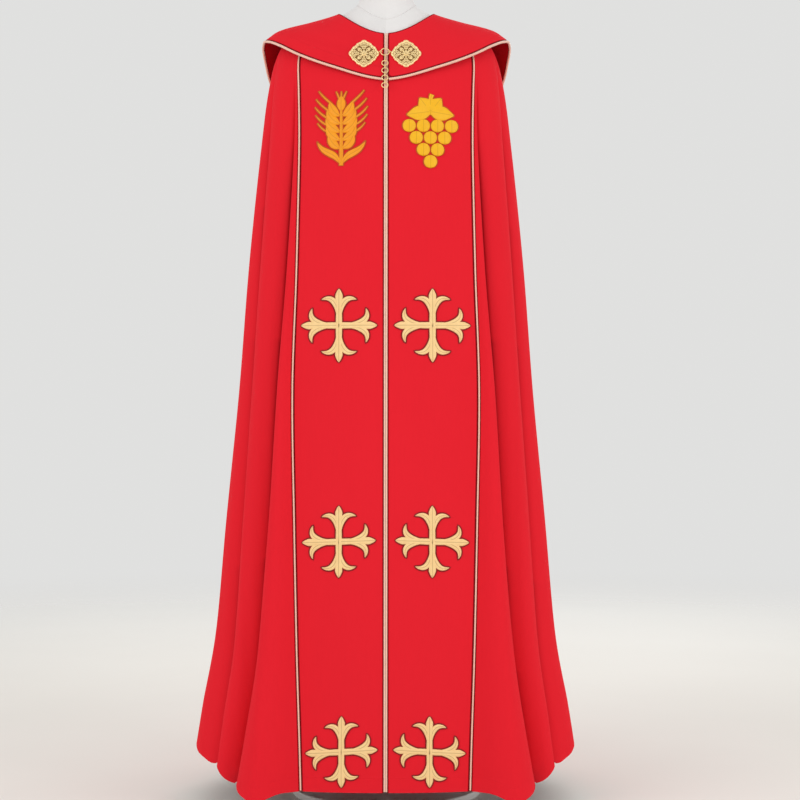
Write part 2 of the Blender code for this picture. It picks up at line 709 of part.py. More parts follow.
def make_form(finish):
    """The padded body of the dress form: closed rings from the neck's cap to the flat underside."""
    around = np.linspace(0, 2 * math.pi, FORM_COLUMNS_AROUND, endpoint=False)
    rows = [ring_point(around, *row[1:]) for row in FORM_NECK]
    for level in CLOTH_ROWS[CLOTH_ROWS <= 2]:
        under = -(CLOTH + SEAT_GAP)
        rows.append(offset(base_surface, around, np.full(len(around), level), np.full(len(around), under)))
    rows += [ring_point(around, *row[1:]) for row in FORM_TORSO]
    count = len(around)
    faces = []
    for i in range(len(rows) - 1):
        for j in range(count):
            k = (j + 1) % count
            faces.append((i * count + j, (i + 1) * count + j, (i + 1) * count + k, i * count + k))
    faces.append(tuple(range(count)))
    faces.append(tuple(reversed(range((len(rows) - 1) * count, len(rows) * count))))
    return mesh_object("dress_form", np.array(rows), faces, finish)


def turned(name, profile, finish):
    """A solid of revolution about Z from a profile of radius and height that starts and ends on the axis."""
    shape = bmesh.new()
    line = [shape.verts.new((radius, 0, height)) for radius, height in profile]
    edges = [shape.edges.new(pair) for pair in zip(line, line[1:])]
    bmesh.ops.spin(
        shape,
        geom=line + edges,
        cent=(0, 0, 0),
        axis=(0, 0, 1),
        angle=2 * math.pi,
        steps=ROUND_SEGMENTS,
        use_merge=True,
    )
    bmesh.ops.remove_doubles(shape, verts=shape.verts[:], dist=1e-5)
    bmesh.ops.recalc_face_normals(shape, faces=shape.faces[:])
    mesh = bpy.data.meshes.new(name)
    shape.to_mesh(mesh)
    shape.free()
    mesh.shade_smooth()
    mesh.set_sharp_from_angle(angle=math.radians(35))
    return add_object(name, mesh, finish)


def make_stand(enamel):
    edge = 0.003
    turned(
        "stand_foot",
        (
            (0, 0),
            (FOOT_RADIUS - edge, 0),
            (FOOT_RADIUS, edge),
            (FOOT_RADIUS, FOOT_HEIGHT - edge),
            (FOOT_RADIUS - edge, FOOT_HEIGHT),
            (HUB_RADIUS + edge, FOOT_HEIGHT),
            (HUB_RADIUS, FOOT_HEIGHT + edge),
            (HUB_RADIUS, HUB_HEIGHT),
            (0, HUB_HEIGHT),
        ),
        enamel,
    )
    top = FORM_TORSO[-1][1] - TOUCH
    turned(
        "stand_pole",
        (
            (0, HUB_HEIGHT + TOUCH),
            (POLE_RADIUS, HUB_HEIGHT + TOUCH),
            (POLE_RADIUS, top - FLANGE_HEIGHT),
            (FLANGE_RADIUS, top - FLANGE_HEIGHT),
            (FLANGE_RADIUS, top),
            (0, top),
        ),
        enamel,
    )


def make_badges(cross_gold, amber, yellow):
    for row, height, size in CROSS_ROWS:
        for side, word in ((1, "right"), (-1, "left")):
            name = f"cross_{row}_{word}"
            badge(name, cross_outline(size), side, band_cell(height), band_point, BADGE_THICK, cross_gold)
    cell = band_cell(MOTIF_HEIGHT)
    badge("badge_wheat", wheat_outline(), -1, cell, band_point, BADGE_THICK, amber)
    badge("badge_grapes", grape_outline(), 1, cell, band_point, BADGE_THICK, yellow)


def main():
    for old in list(bpy.data.objects):
        bpy.data.objects.remove(old)
    red = material("red_cloth", (0.79, 0.013, 0.028), 0.6)
    gold_cord = material("gold_cord", (0.83, 0.55, 0.24), 0.4, 0.4)
    cross_gold = material("cross_gold", (0.72, 0.50, 0.14), 0.45, 0.2)
    amber = material("amber_thread", (0.80, 0.30, 0.02), 0.5)
    yellow = material("yellow_thread", (0.82, 0.45, 0.02), 0.5)
    brass = material("clasp_brass", (0.64, 0.45, 0.15), 0.3, 1.0)
    white = material("form_jersey", (0.86, 0.85, 0.84), 0.85)
    enamel = material("stand_enamel", (0.82, 0.81, 0.79), 0.35)
    for side, word in ((1, "right"), (-1, "left")):
        make_mantle(side, f"mantle_{word}", red)
        cloth_wall(f"band_{word}", base_surface, *band_cells(), side, CLOTH, red)
        make_edge_cord(side, f"edge_cord_{word}", gold_cord)
        make_seam_cord(side, f"seam_cord_{word}", gold_cord)
    cloth_wall("collar", collar, *collar_cells(), 1, COLLAR_CLOTH, red)
    make_collar_cord(gold_cord)
    make_clasp(brass)
    make_badges(cross_gold, amber, yellow)
    make_form(white)
    make_stand(enamel)


main()
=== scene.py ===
# %% [markdown]
# # A red cope on its dress form
#
# A cope is a long open cloak for church services: a half circle of cloth, worn over the shoulders
# and closed at the breast with a clasp. This one has two flat bands down the front, a cape collar,
# gold piping, embroidered badges and a brass clasp with a short chain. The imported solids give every
# place and size. This file puts the fine cloth, thread, metal and paint on them.

import json
import math

import bpy
import numpy as np
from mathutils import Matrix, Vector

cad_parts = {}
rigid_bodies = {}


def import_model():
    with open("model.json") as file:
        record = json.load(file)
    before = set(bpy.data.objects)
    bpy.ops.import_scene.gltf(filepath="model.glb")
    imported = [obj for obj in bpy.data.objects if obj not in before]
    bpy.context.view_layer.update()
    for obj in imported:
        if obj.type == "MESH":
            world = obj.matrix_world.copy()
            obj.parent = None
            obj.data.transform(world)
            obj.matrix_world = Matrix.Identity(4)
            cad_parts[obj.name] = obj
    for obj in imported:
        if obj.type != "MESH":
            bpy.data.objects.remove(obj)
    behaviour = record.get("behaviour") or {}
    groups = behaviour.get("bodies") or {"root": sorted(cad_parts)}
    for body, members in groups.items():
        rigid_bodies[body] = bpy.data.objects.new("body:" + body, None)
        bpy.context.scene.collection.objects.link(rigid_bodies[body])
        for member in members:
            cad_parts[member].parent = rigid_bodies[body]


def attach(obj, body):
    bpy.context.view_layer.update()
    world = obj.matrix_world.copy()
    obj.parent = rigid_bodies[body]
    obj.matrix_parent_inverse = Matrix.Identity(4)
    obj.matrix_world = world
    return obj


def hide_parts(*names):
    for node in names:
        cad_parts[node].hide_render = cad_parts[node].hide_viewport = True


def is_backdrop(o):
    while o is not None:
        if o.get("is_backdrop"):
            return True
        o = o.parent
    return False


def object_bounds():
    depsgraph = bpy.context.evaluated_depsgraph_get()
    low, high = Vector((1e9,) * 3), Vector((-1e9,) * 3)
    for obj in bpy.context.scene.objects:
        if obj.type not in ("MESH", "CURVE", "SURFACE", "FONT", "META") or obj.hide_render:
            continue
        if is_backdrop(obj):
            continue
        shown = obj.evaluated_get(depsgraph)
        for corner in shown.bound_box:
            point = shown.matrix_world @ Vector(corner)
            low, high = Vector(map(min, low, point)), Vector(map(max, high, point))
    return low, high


for old in list(bpy.data.objects):
    bpy.data.objects.remove(old)
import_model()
cad_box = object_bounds()
scene = bpy.context.scene
print("CAD box", [[round(float(c), 4) for c in corner] for corner in cad_box])

# %% [markdown]
# ## The camera
#
# The picture was taken from straight in front and from some way off, at about half the height of
# the cloak, so its lines are almost square to the frame. A long lens a little to the right of the
# middle gives the same view. It is set first, so that every later step can be looked at through it.

# %% Camera
lens = bpy.data.cameras.new("camera")
lens.lens = 82.2
lens.sensor_width = 36
camera = bpy.data.objects.new("camera", lens)
camera.location = (0.0274, -3.7, 0.791)
camera.rotation_euler = (math.radians(90), 0, 0)
scene.collection.objects.link(camera)
scene.camera = camera
scene.view_settings.view_transform = "Standard"
print("camera", [round(c, 3) for c in camera.location], "lens", lens.lens)

# %% [markdown]
# ## Arithmetic for materials
#
# A material is a graph of nodes. Written out node by node it is hard to read, so a small class
# wraps a node's output and lets Python's own operators add the Math nodes: `1 - mask` or
# `u * 3 + v`. Every other node comes from one method that takes its type, its settings and what
# goes into its sockets.


# %% Value and Finish
class Value:
    """An output of a node in a material. An expression on values adds its Math nodes."""

    def __init__(self, finish, socket):
        self.finish = finish
        self.socket = socket

    def maths(self, operation, *inputs):
        return self.finish.node("ShaderNodeMath", {"operation": operation}, dict(enumerate(inputs)))

    def __add__(self, other):
        return self.maths("ADD", self, other)

    def __sub__(self, other):
        return self.maths("SUBTRACT", self, other)

    def __rsub__(self, other):
        return self.maths("SUBTRACT", other, self)

    def __mul__(self, other):
        return self.maths("MULTIPLY", self, other)

    def __truediv__(self, other):
        return self.maths("DIVIDE", self, other)

    def __abs__(self):
        return self.maths("ABSOLUTE", self)

    __radd__ = __add__
    __rmul__ = __mul__

    def sine(self):
        return self.maths("SINE", self)

    def smaller(self, other):
        return self.maths("MINIMUM", self, other)

    def larger(self, other):
        return self.maths("MAXIMUM", self, other)


class Finish:
    """A material whose nodes are added one at a time."""

    def __init__(self, name, **constants):
        self.material = bpy.data.materials.new(name)
        self.material.use_nodes = True
        self.tree = self.material.node_tree
        self.shader = self.tree.nodes["Principled BSDF"]
        for socket, value in constants.items():
            self.shader.inputs[socket.replace("_", " ")].default_value = value

    def node(self, kind, settings=None, inputs=None, output=0):
        """Adds a node of that type, sets its settings, then its sockets' values or links."""
        made = self.tree.nodes.new(kind)
        for key, value in (settings or {}).items():
            setattr(made, key, value)
        for key, value in (inputs or {}).items():
            if isinstance(value, Value):
                self.tree.links.new(value.socket, made.inputs[key])
            else:
                made.inputs[key].default_value = value
        return Value(self, made.outputs[output])

    def feed(self, **links):
        """Links values to sockets of the shader itself."""
        for socket, value in links.items():
            self.tree.links.new(value.socket, self.shader.inputs[socket.replace("_", " ")])

    def mix(self, factor, first, second):
        """A colour between two colours."""
        return self.node("ShaderNodeMix", {"data_type": "RGBA"}, {0: factor, 6: first, 7: second}, output=2)

    def bump(self, height, distance, strength=1.0):
        """Small relief, as a normal: distance is how high a height of 1 stands, in metres."""
        sockets = {"Strength": strength, "Distance": distance, "Height": height}
        self.feed(Normal=self.node("ShaderNodeBump", None, sockets))

    def metres(self):
        """The piece's own map as two values in metres: across and along."""
        place = self.node("ShaderNodeUVMap", {"uv_map": "metres"})
        split = self.tree.nodes.new("ShaderNodeSeparateXYZ")
        self.tree.links.new(place.socket, split.inputs[0])
        return place, Value(self, split.outputs[0]), Value(self, split.outputs[1])

    def place(self):
        """The point on the object, in metres."""
        return self.node("ShaderNodeTexCoord", None, None, output="Object")

    def stretched(self, vector, scale):
        """A vector whose three parts are scaled, so that a pattern is drawn out one way."""
        return self.node("ShaderNodeVectorMath", {"operation": "MULTIPLY"}, {0: vector, 1: scale})

    def noise(self, vector, scale, detail=3.0):
        """Cloudy values between 0 and 1."""
        return self.node("ShaderNodeTexNoise", None, {"Vector": vector, "Scale": scale, "Detail": detail})


print("material helpers ready")

# %% [markdown]
# ## The red cloth and its lining
#
# The cloak is a plain, firm, matt red cloth with a fine even weave and almost no shine, lined with
# a smoother red that is set deeper than the outside, partly as painted shade for the inside of the
# cloak. From the picture's distance the weave can't be told apart, but close to it is what makes the
# surface cloth. The threads are two sine waves on the piece's own map, which is in metres, so they run
# with the cloth round every fold. Cloudy noise drawn out along the threads makes some of them a little
# thicker, and very broad noise varies the dye by a few hundredths. Shade is painted into the colour as
# well: darker beside each seam and edge, and along the fold valleys.


# %% Woven cloth
def woven(name, deep, bright, pitch, relief, roughness, sheen, seams_and_shade=True):
    """Plain weave: height = warp wave x weft wave, with slubs, a groove by each seam and hem stitches; shade is
    painted into the colour beside each seam and edge and along the fold valleys.
    """
    finish = Finish(name, Sheen_Weight=sheen, Sheen_Roughness=0.5, Specular_IOR_Level=0.07)
    finish.shader.inputs["Sheen Tint"].default_value = (*bright[:3], 1)
    place, u, v = finish.metres()
    turn = 2 * math.pi / pitch
    threads = (u * turn).sine() * (v * turn).sine() * 0.5 + 0.5
    slub = finish.noise(finish.stretched(place, (260, 26, 1)), 1.0)
    clouds = finish.noise(finish.stretched(place, (6, 2.2, 1)), 1.0, 2.0)
    shade = threads * 0.16 + slub * 0.34 + clouds * 0.5
    colour = finish.mix(shade, deep, bright)
    finish.feed(Roughness=slub * 0.12 + (roughness - 0.06))
    height = threads * 0.7 + slub * 0.5
    if seams_and_shade:
        # Painted shade: beside each seam and edge the colour is darkened, by distance from the edge, for the shade
        # that falls there; the bump below also sinks a real groove there.
        edge_shade_distance = finish.node("ShaderNodeAttribute", {"attribute_name": "edge_shade_distance"}, None, output="Fac")
        shadow = 1 - ((edge_shade_distance - 0.0012) / 0.0018).larger(0).smaller(1)
        # Painted shade along the fold valleys: the mantle's attribute says how strongly each valley's colour is
        # darkened.
        valley = finish.node("ShaderNodeAttribute", {"attribute_name": "painted_fold_shade"}, None, output="Fac")
        painted_shade_colour = tuple(c * 0.16 for c in deep[:3]) + (1,)
        colour = finish.mix((shadow * 0.85).larger(valley), colour, painted_shade_colour)
        height = height - shadow * 4
        line = 1 - (abs(v - 0.026) / 0.0012).smaller(1)
        stitch = ((u * (2 * math.pi / 0.0036)).sine() * 1.6 + 0.9).larger(0).smaller(1)
        height = height - line * (0.8 + stitch * 1.4)
    finish.feed(Base_Color=colour)
    finish.bump(height, relief)
    return finish.material


cope_red = woven("cope_red", (0.70, 0.0125, 0.023, 1), (0.80, 0.0175, 0.030, 1), 0.00085, 0.00012, 0.84, 0.02)
# Partly painted shade: the lining is a real smoother red, made deeper than the outer cloth so that it also stands for
# the shade inside the cloak.
lining_and_shade_red = woven("lining_and_shade_red", (0.36, 0.005, 0.011, 1), (0.44, 0.007, 0.014, 1), 0.0006, 0.00005, 0.5, 0.05, False)
print("cloth", cope_red.name, lining_and_shade_red.name)

# %% [markdown]
# ## Thread, piping and metal
#
# The piping is pale gold cord. The crosses are old-gold thread with darker veins, the two upper
# badges amber and yellow satin stitch with a darker outline. Satin stitch lays its threads side by
# side across the shape, so the stripes run along the map's second direction, lean a little towards
# the middle, and each thread takes a slightly different tone.


# %% Satin stitch
def satin(name, deep, bright, pitch, lean, vein, roughness=0.42, sheen=0.0):
    """Threads side by side: height = wave of (along + lean x distance from the middle) over the pitch."""
    finish = Finish(name, Specular_IOR_Level=0.35, Sheen_Weight=sheen, Sheen_Roughness=0.4)
    place, u, v = finish.metres()
    along = v + abs(u) * lean
    threads = (along * (2 * math.pi / pitch)).sine() * 0.5 + 0.5
    tone = finish.noise(finish.stretched(place, (90, 900, 1)), 1.0, 2.0)
    clouds = finish.noise(finish.place(), 90.0, 2.0)
    shade = (threads * 0.26 + tone * 0.42 + clouds * 0.42).smaller(1)
    plain = finish.mix(shade, deep, bright)
    line = (1 - (abs(u) / 0.0011).smaller(1)) * vein
    finish.feed(Base_Color=finish.mix(line, plain, tuple(c * 0.42 for c in deep[:3]) + (1,)))
    finish.feed(Roughness=tone * 0.2 + (roughness - 0.1))
    finish.bump(threads + tone * 0.6, 0.00016)
    return finish.material


cross_thread = satin("cross_thread", (0.88, 0.50, 0.18, 1), (1.0, 0.76, 0.38, 1), 0.0009, 0.5, 0.6, 0.40, 0.15)
amber_satin = satin("amber_satin", (0.80, 0.25, 0.002, 1), (0.97, 0.38, 0.003, 1), 0.0011, 0.3, 0.4)
yellow_satin = satin("yellow_satin", (0.80, 0.37, 0.003, 1), (0.96, 0.53, 0.005, 1), 0.0011, 0.3, 0.4)
# Painted shadow: this deep red-brown goes on the flat sheet round each cross petal, for the shadow it casts on the
# cloth.
painted_cross_shadow = satin("painted_cross_shadow", (0.20, 0.003, 0.004, 1), (0.28, 0.006, 0.006, 1), 0.0009, 0.0, 0.0, 0.7)
edge_orange = satin("edge_orange", (0.42, 0.055, 0.002, 1), (0.60, 0.10, 0.003, 1), 0.0009, 0.0, 0.0, 0.6)
piping_gold = satin("piping_gold", (0.96, 0.50, 0.36, 1), (1.0, 0.66, 0.52, 1), 0.0007, 0.9, 0.0, 0.35, 0.5)
print("threads", [m.name for m in (cross_thread, amber_satin, yellow_satin, piping_gold)])

# %% [markdown]
# The clasp is gilt brass, bright on its raised scrolls and dull brown in the ground between them.
# One function makes both, with fine casting grain and worn patches in colour and roughness.


# %% Brass
def brass(name, dull, bright, rough_low, rough_high):
    """Metal whose colour and roughness follow two sizes of noise on the object."""
    finish = Finish(name, Metallic=0.55, Specular_IOR_Level=0.6)
    wear = finish.noise(finish.place(), 320.0, 4.0)
    broad = finish.noise(finish.place(), 60.0, 2.0)
    shade = wear * 0.6 + broad * 0.4
    finish.feed(Base_Color=finish.mix(shade, dull, bright))
    finish.feed(Roughness=rough_high - shade * (rough_high - rough_low))
    finish.bump(finish.noise(finish.place(), 2400.0, 2.0), 0.00006)
    return finish.material


clasp_metal = brass("clasp_metal", (0.88, 0.62, 0.26, 1), (1.0, 0.82, 0.46, 1), 0.22, 0.42)
clasp_ground = brass("clasp_ground", (0.16, 0.065, 0.012, 1), (0.34, 0.19, 0.045, 1), 0.4, 0.65)
print("metal", clasp_metal.name, clasp_ground.name)

# %% [markdown]
# The dress form is covered in white knitted jersey. A knit shows small columns of loops, so its wave
# across is sharp and its wave along is shifted on every second column. The stand is painted steel,
# with the slight ripple of sprayed enamel.

# %% Jersey and enamel
form_knit = Finish("form_knit", Sheen_Weight=0.15, Specular_IOR_Level=0.2)
place, u, v = form_knit.metres()
columns = abs((u * (math.pi / 0.0013)).sine())
loops = (v * (2 * math.pi / 0.0011) + columns * 2.2).sine() * 0.5 + 0.5
clouds = form_knit.noise(form_knit.place(), 30.0)
knit_deep, knit_bright = (0.72, 0.70, 0.69, 1), (0.81, 0.79, 0.78, 1)
form_knit.feed(Base_Color=form_knit.mix(clouds * 0.6 + columns * 0.4, knit_deep, knit_bright))
form_knit.feed(Roughness=clouds * 0.1 + 0.82)
form_knit.bump(columns + loops * 0.5, 0.0001)

stand_paint = Finish("stand_paint", Coat_Weight=0.25, Coat_Roughness=0.2)
clouds = stand_paint.noise(stand_paint.place(), 14.0)
peel = stand_paint.noise(stand_paint.place(), 420.0, 1.0)
stand_paint.feed(Base_Color=stand_paint.mix(clouds, (0.78, 0.77, 0.75, 1), (0.86, 0.85, 0.83, 1)))
stand_paint.feed(Roughness=clouds * 0.14 + 0.26)
stand_paint.bump(peel, 0.0001)
print("form and stand", form_knit.material.name, stand_paint.material.name)

# %% [markdown]
# ## Meshes from grids
#
# Every piece below is a grid of points worked out as whole arrays, so three helpers are enough: one
# numbers the corners of a grid's faces, one closes a stack of rings into a skin with two end caps,
# and one turns an outer and an inner grid into a wall of cloth with a rim. A part is four things:
# its points, its faces, its map points, and the map corners of those faces.


# %% Grid helpers
def quads(rows, columns, wrap_rows=False, wrap_columns=False):
    """Corner numbers of a grid's faces, and the same corners on a map that isn't wrapped."""
    i = np.arange(rows if wrap_rows else rows - 1)[:, None]
    j = np.arange(columns if wrap_columns else columns - 1)[None, :]
    wide = columns + 1 if wrap_columns else columns
    steps = ((0, 0), (1, 0), (1, 1), (0, 1))
    faces = [((i + p) % rows) * columns + (j + q) % columns for p, q in steps]
    marks = [(i + p) * wide + (j + q) for p, q in steps]
    return np.stack(faces, axis=-1).reshape(-1, 4), np.stack(marks, axis=-1).reshape(-1, 4)


def skin(rings, across, along, wrap_rows=False):
    """A closed skin over rings of points. across and along are map values for columns + 1 and rows."""
    rows, columns = rings.shape[:2]
    faces, marks = quads(rows, columns, wrap_rows, True)
    across, along = np.broadcast_arrays(across, along)
    uv = np.stack([across, along], axis=-1).reshape(-1, 2)
    if wrap_rows:
        return rings.reshape(-1, 3), [faces], uv, [marks]
    first = np.arange(columns)[None, :]
    last = first[:, ::-1] + (rows - 1) * columns
    end = last // columns * (columns + 1) + last % columns
    return rings.reshape(-1, 3), [faces, first, last], uv, [marks, first, end]


def wall(outer, inner, across, along, flip):
    """Cloth with thickness: the outer grid, the inner grid turned round, and a rim of quads."""
    rows, columns = outer.shape[:2]
    count = rows * columns
    face = quads(rows, columns)[0]
    grid = np.arange(count).reshape(rows, columns)
    rim = np.concatenate([grid[0, :-1], grid[:-1, -1], grid[-1, :0:-1], grid[:0:-1, 0]])
    after = np.roll(rim, -1)
    faces = [face, face[:, ::-1] + count, np.stack([rim, after, after + count, rim + count], axis=-1)]
    if flip:
        faces = [f[:, ::-1] for f in faces]
    points = np.concatenate([outer.reshape(-1, 3), inner.reshape(-1, 3)])
    uv = np.stack([across, along], axis=-1).reshape(-1, 2)
    return points, faces, np.concatenate([uv, uv]), faces


def make_piece(name, parts, finishes, slots, node_names, body="root", sharp=40):
    """Makes one object of several parts. slots gives each face array of each part its material."""
    points, corners, uvs, marks, sizes, choice = [], [], [], [], [], []
    first_point = first_mark = 0
    for (part_points, part_faces, part_uv, part_marks), part_slots in zip(parts, slots):
        for face, mark, number in zip(part_faces, part_marks, part_slots):
            corners.append((face + first_point).ravel())
            marks.append((mark + first_mark).ravel())
            sizes.append(np.full(len(face), face.shape[1]))
            choice.append(np.full(len(face), number))
        points.append(part_points)
        uvs.append(part_uv)
        first_point += len(part_points)
        first_mark += len(part_uv)
    points, corners = np.concatenate(points), np.concatenate(corners)
    sizes = np.concatenate(sizes)
    mesh = bpy.data.meshes.new(name)
    mesh.vertices.add(len(points))
    mesh.vertices.foreach_set("co", points.astype(np.float32).ravel())
    mesh.loops.add(len(corners))
    mesh.loops.foreach_set("vertex_index", corners.astype(np.int32))
    mesh.polygons.add(len(sizes))
    mesh.polygons.foreach_set("loop_start", np.concatenate([[0], np.cumsum(sizes)[:-1]]).astype(np.int32))
    mesh.polygons.foreach_set("material_index", np.concatenate(choice).astype(np.int32))
    mesh.update(calc_edges=True)
    layer = mesh.uv_layers.new(name="metres")
    layer.data.foreach_set("uv", np.concatenate(uvs)[np.concatenate(marks)].astype(np.float32).ravel())
    mesh.shade_smooth()
    mesh.set_sharp_from_angle(angle=math.radians(sharp))
    for finish in finishes:
        mesh.materials.append(finish)
    made = bpy.data.objects.new(name, mesh)
    scene.collection.objects.link(made)
    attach(made, body)
    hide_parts(*node_names)
    return made


def triangles(made):
    return sum(len(face.vertices) - 2 for face in made.data.polygons)


print("grid helpers ready")

# %% [markdown]
# ## The shape of the hanging cloth
#
# The cope hangs from the shoulders like a bell with folds. It could be simulated, but the picture
# shows where each fold runs, and a simulated one would fall elsewhere. So the cloth is a function of
# two numbers: the angle round the body, 0 at the front middle and pi at the back middle, and a level
# from 0 at the neck to 11 at the hem. Each row of the table is one level. In plan a level is a
# superellipse, and its height rises from the front to the side.

# %% Levels of the cloth
SECTION_NAMES = ("z_front", "z_side", "z_back", "width", "front", "back", "square", "swing", "band", "slit")
SECTIONS = np.array((
    (1.514, 1.568, 1.572, 0.0960, 0.0900, 0.0680, 2.0, 0.00, 0.0760, 0.0038),
    (1.482, 1.540, 1.540, 0.1500, 0.1080, 0.1020, 2.1, 0.00, 0.1240, 0.0038),
    (1.446, 1.507, 1.490, 0.2085, 0.1290, 0.1300, 2.2, 0.00, 0.1680, 0.0038),
    (1.420, 1.470, 1.440, 0.2260, 0.1425, 0.1450, 2.3, 0.05, 0.1720, 0.0038),
    (1.390, 1.400, 1.390, 0.2390, 0.1540, 0.1560, 2.4, 0.11, 0.1700, 0.0038),
    (1.290, 1.290, 1.290, 0.2505, 0.1700, 0.1760, 2.5, 0.19, 0.1680, 0.0038),
    (1.050, 1.050, 1.050, 0.2720, 0.1914, 0.2050, 2.5, 0.34, 0.1720, 0.0038),
    (0.800, 0.804, 0.800, 0.2880, 0.2136, 0.2350, 2.5, 0.49, 0.1790, 0.0038),
    (0.550, 0.558, 0.552, 0.3085, 0.2359, 0.2650, 2.5, 0.64, 0.1740, 0.0038),
    (0.300, 0.314, 0.304, 0.3275, 0.2582, 0.2950, 2.5, 0.80, 0.1675, 0.0038),
    (0.150, 0.174, 0.156, 0.3500, 0.2715, 0.3150, 2.5, 0.92, 0.1620, 0.0038),
    (0.055, 0.090, 0.064, 0.3610, 0.2800, 0.3300, 2.5, 1.00, 0.1590, 0.0038),
))
CLOTH, COLLAR_CLOTH, SEAM_GAP, SEAT_GAP, TOUCH = 0.0018, 0.0025, 0.0006, 0.0010, 0.0003


def smooth(knots, values, at):
    """A monotone cubic through the values: each slope is the weighted harmonic mean of its neighbours."""
    knots, values = np.asarray(knots, float), np.asarray(values, float)
    step = np.diff(knots)
    gap = step.reshape((-1,) + (1,) * (values.ndim - 1))
    secant = np.diff(values, axis=0) / gap
    both = secant[:-1] * secant[1:] > 0
    weight_a, weight_b = 2 * gap[1:] + gap[:-1], gap[1:] + 2 * gap[:-1]
    inverse = weight_a / np.where(both, secant[:-1], 1) + weight_b / np.where(both, secant[1:], 1)
    middle = np.where(both, (weight_a + weight_b) / inverse, 0)
    slope = np.concatenate([secant[:1], middle, secant[-1:]])
    at = np.clip(np.asarray(at, float), knots[0], knots[-1])
    i = np.clip(np.searchsorted(knots, at, side="right") - 1, 0, len(step) - 1)
    spread = at.shape + (1,) * (values.ndim - 1)
    t, long = ((at - knots[i]) / step[i]).reshape(spread), step[i].reshape(spread)
    start = (2 * t**3 - 3 * t**2 + 1) * values[i] + (t**3 - 2 * t**2 + t) * long * slope[i]
    end = (3 * t**2 - 2 * t**3) * values[i + 1] + (t**3 - t**2) * long * slope[i + 1]
    return start + end


def section(name, level):
    """One column of the table at a level between its rows."""
    return smooth(np.arange(len(SECTIONS)), SECTIONS[:, SECTION_NAMES.index(name)], level)


def ring_point(angle, z_front, z_side, z_back, width, front, back, square, rise=1.8):
    """Superellipse: x = width sin^(2/n), y = -depth cos^(2/n), z = end + (side - end) |sin|^rise."""
    s, c = np.sin(angle), np.cos(angle)
    power = 2 / square
    x = width * np.sign(s) * np.abs(s) ** power
    y = -np.where(c > 0, front, back) * np.sign(c) * np.abs(c) ** power
    z_end = np.where(c > 0, z_front, z_back)
    z = z_end + (z_side - z_end) * np.abs(s) ** rise
    return np.stack(np.broadcast_arrays(x, y, z), axis=-1)


def base_surface(angle, level):
    """The cloth's outer face without folds."""
    row = np.moveaxis(smooth(np.arange(len(SECTIONS)), SECTIONS[:, :8], level), -1, 0)
    return ring_point(angle, *row[:7], 1.8 + 6 * row[7] ** 3)


def angle_at(x, level):
    """The angle at which the base surface is x from the middle, in front."""
    share = np.abs(x) / section("width", level)
    return np.arcsin(np.clip(share, 0, 1) ** (section("square", level) / 2))


def seam_angle(level):
    """The seam between a front band and the mantle."""
    return angle_at(section("band", level), level)


print("hem", 2 * section("width", 11), "m wide; front length", 1.514 - 0.055, "m")

# %% [markdown]
# ## Folds
#
# Behind each front band the cloth falls in rounded lobes with a sharp valley after each: two that the
# picture shows on each side, and more round the back. A fold is 4t(1 - t) raised to a power, which
# bulges between its valleys, and it opens more the further down it is. At the hem each lobe hangs a
# little lower and lifts again towards its valley, which rounds its corner. Between the folds the cloth
# is never quite still, so two long waves add a millimetre, and each valley ends in a pinched crease.

# %% Folds and ripples
# share at the chest, share at the hem, crest, valley, roundness, how late it opens, drop, unevenness
FOLDS = (
    (0.022, 0.188, 0.064, 0.040, 1.40, 1.7, 0.018, 0.02),
    (0.232, 0.286, 0.017, 0.042, 0.80, 0.8, 0.011, -0.03),
    (0.467, 0.500, 0.030, 0.050, 0.70, 1.0, 0.002, -0.08),
    (0.621, 0.634, 0.020, 0.052, 0.75, 1.0, 0.006, 0.10),
    (0.752, 0.770, 0.026, 0.046, 0.75, 1.0, 0.008, -0.08),
    (0.893, 0.888, 0.018, 0.042, 0.75, 1.0, 0.005, 0.00),
    (1.107, 1.112, 0.026, 0.042, 0.75, 1.0, 0.000, 0.00),
)
# where along the fold its drop comes on, how far its hem lifts after that, and where that comes on
HEM_LINE = (
    (0.15, 0.42, 0.022, 0.30, 0.95),
    (0.00, 0.12, 0.024, 0.05, 0.70),
    (0.00, 0.12, 0.022, 0.10, 0.62),
    (0.15, 0.42, 0.012, 0.50, 0.95),
    (0.15, 0.42, 0.012, 0.50, 0.95),
    (0.15, 0.42, 0.012, 0.50, 0.95),
    (0.15, 0.42, 0.000, 0.50, 0.95),
)


def fade(value, start, end):
    """0 before start, 1 after end, and an easy slope between them: 3t^2 - 2t^3."""
    t = np.clip((value - start) / (end - start), 0, 1)
    return t * t * (3 - 2 * t)


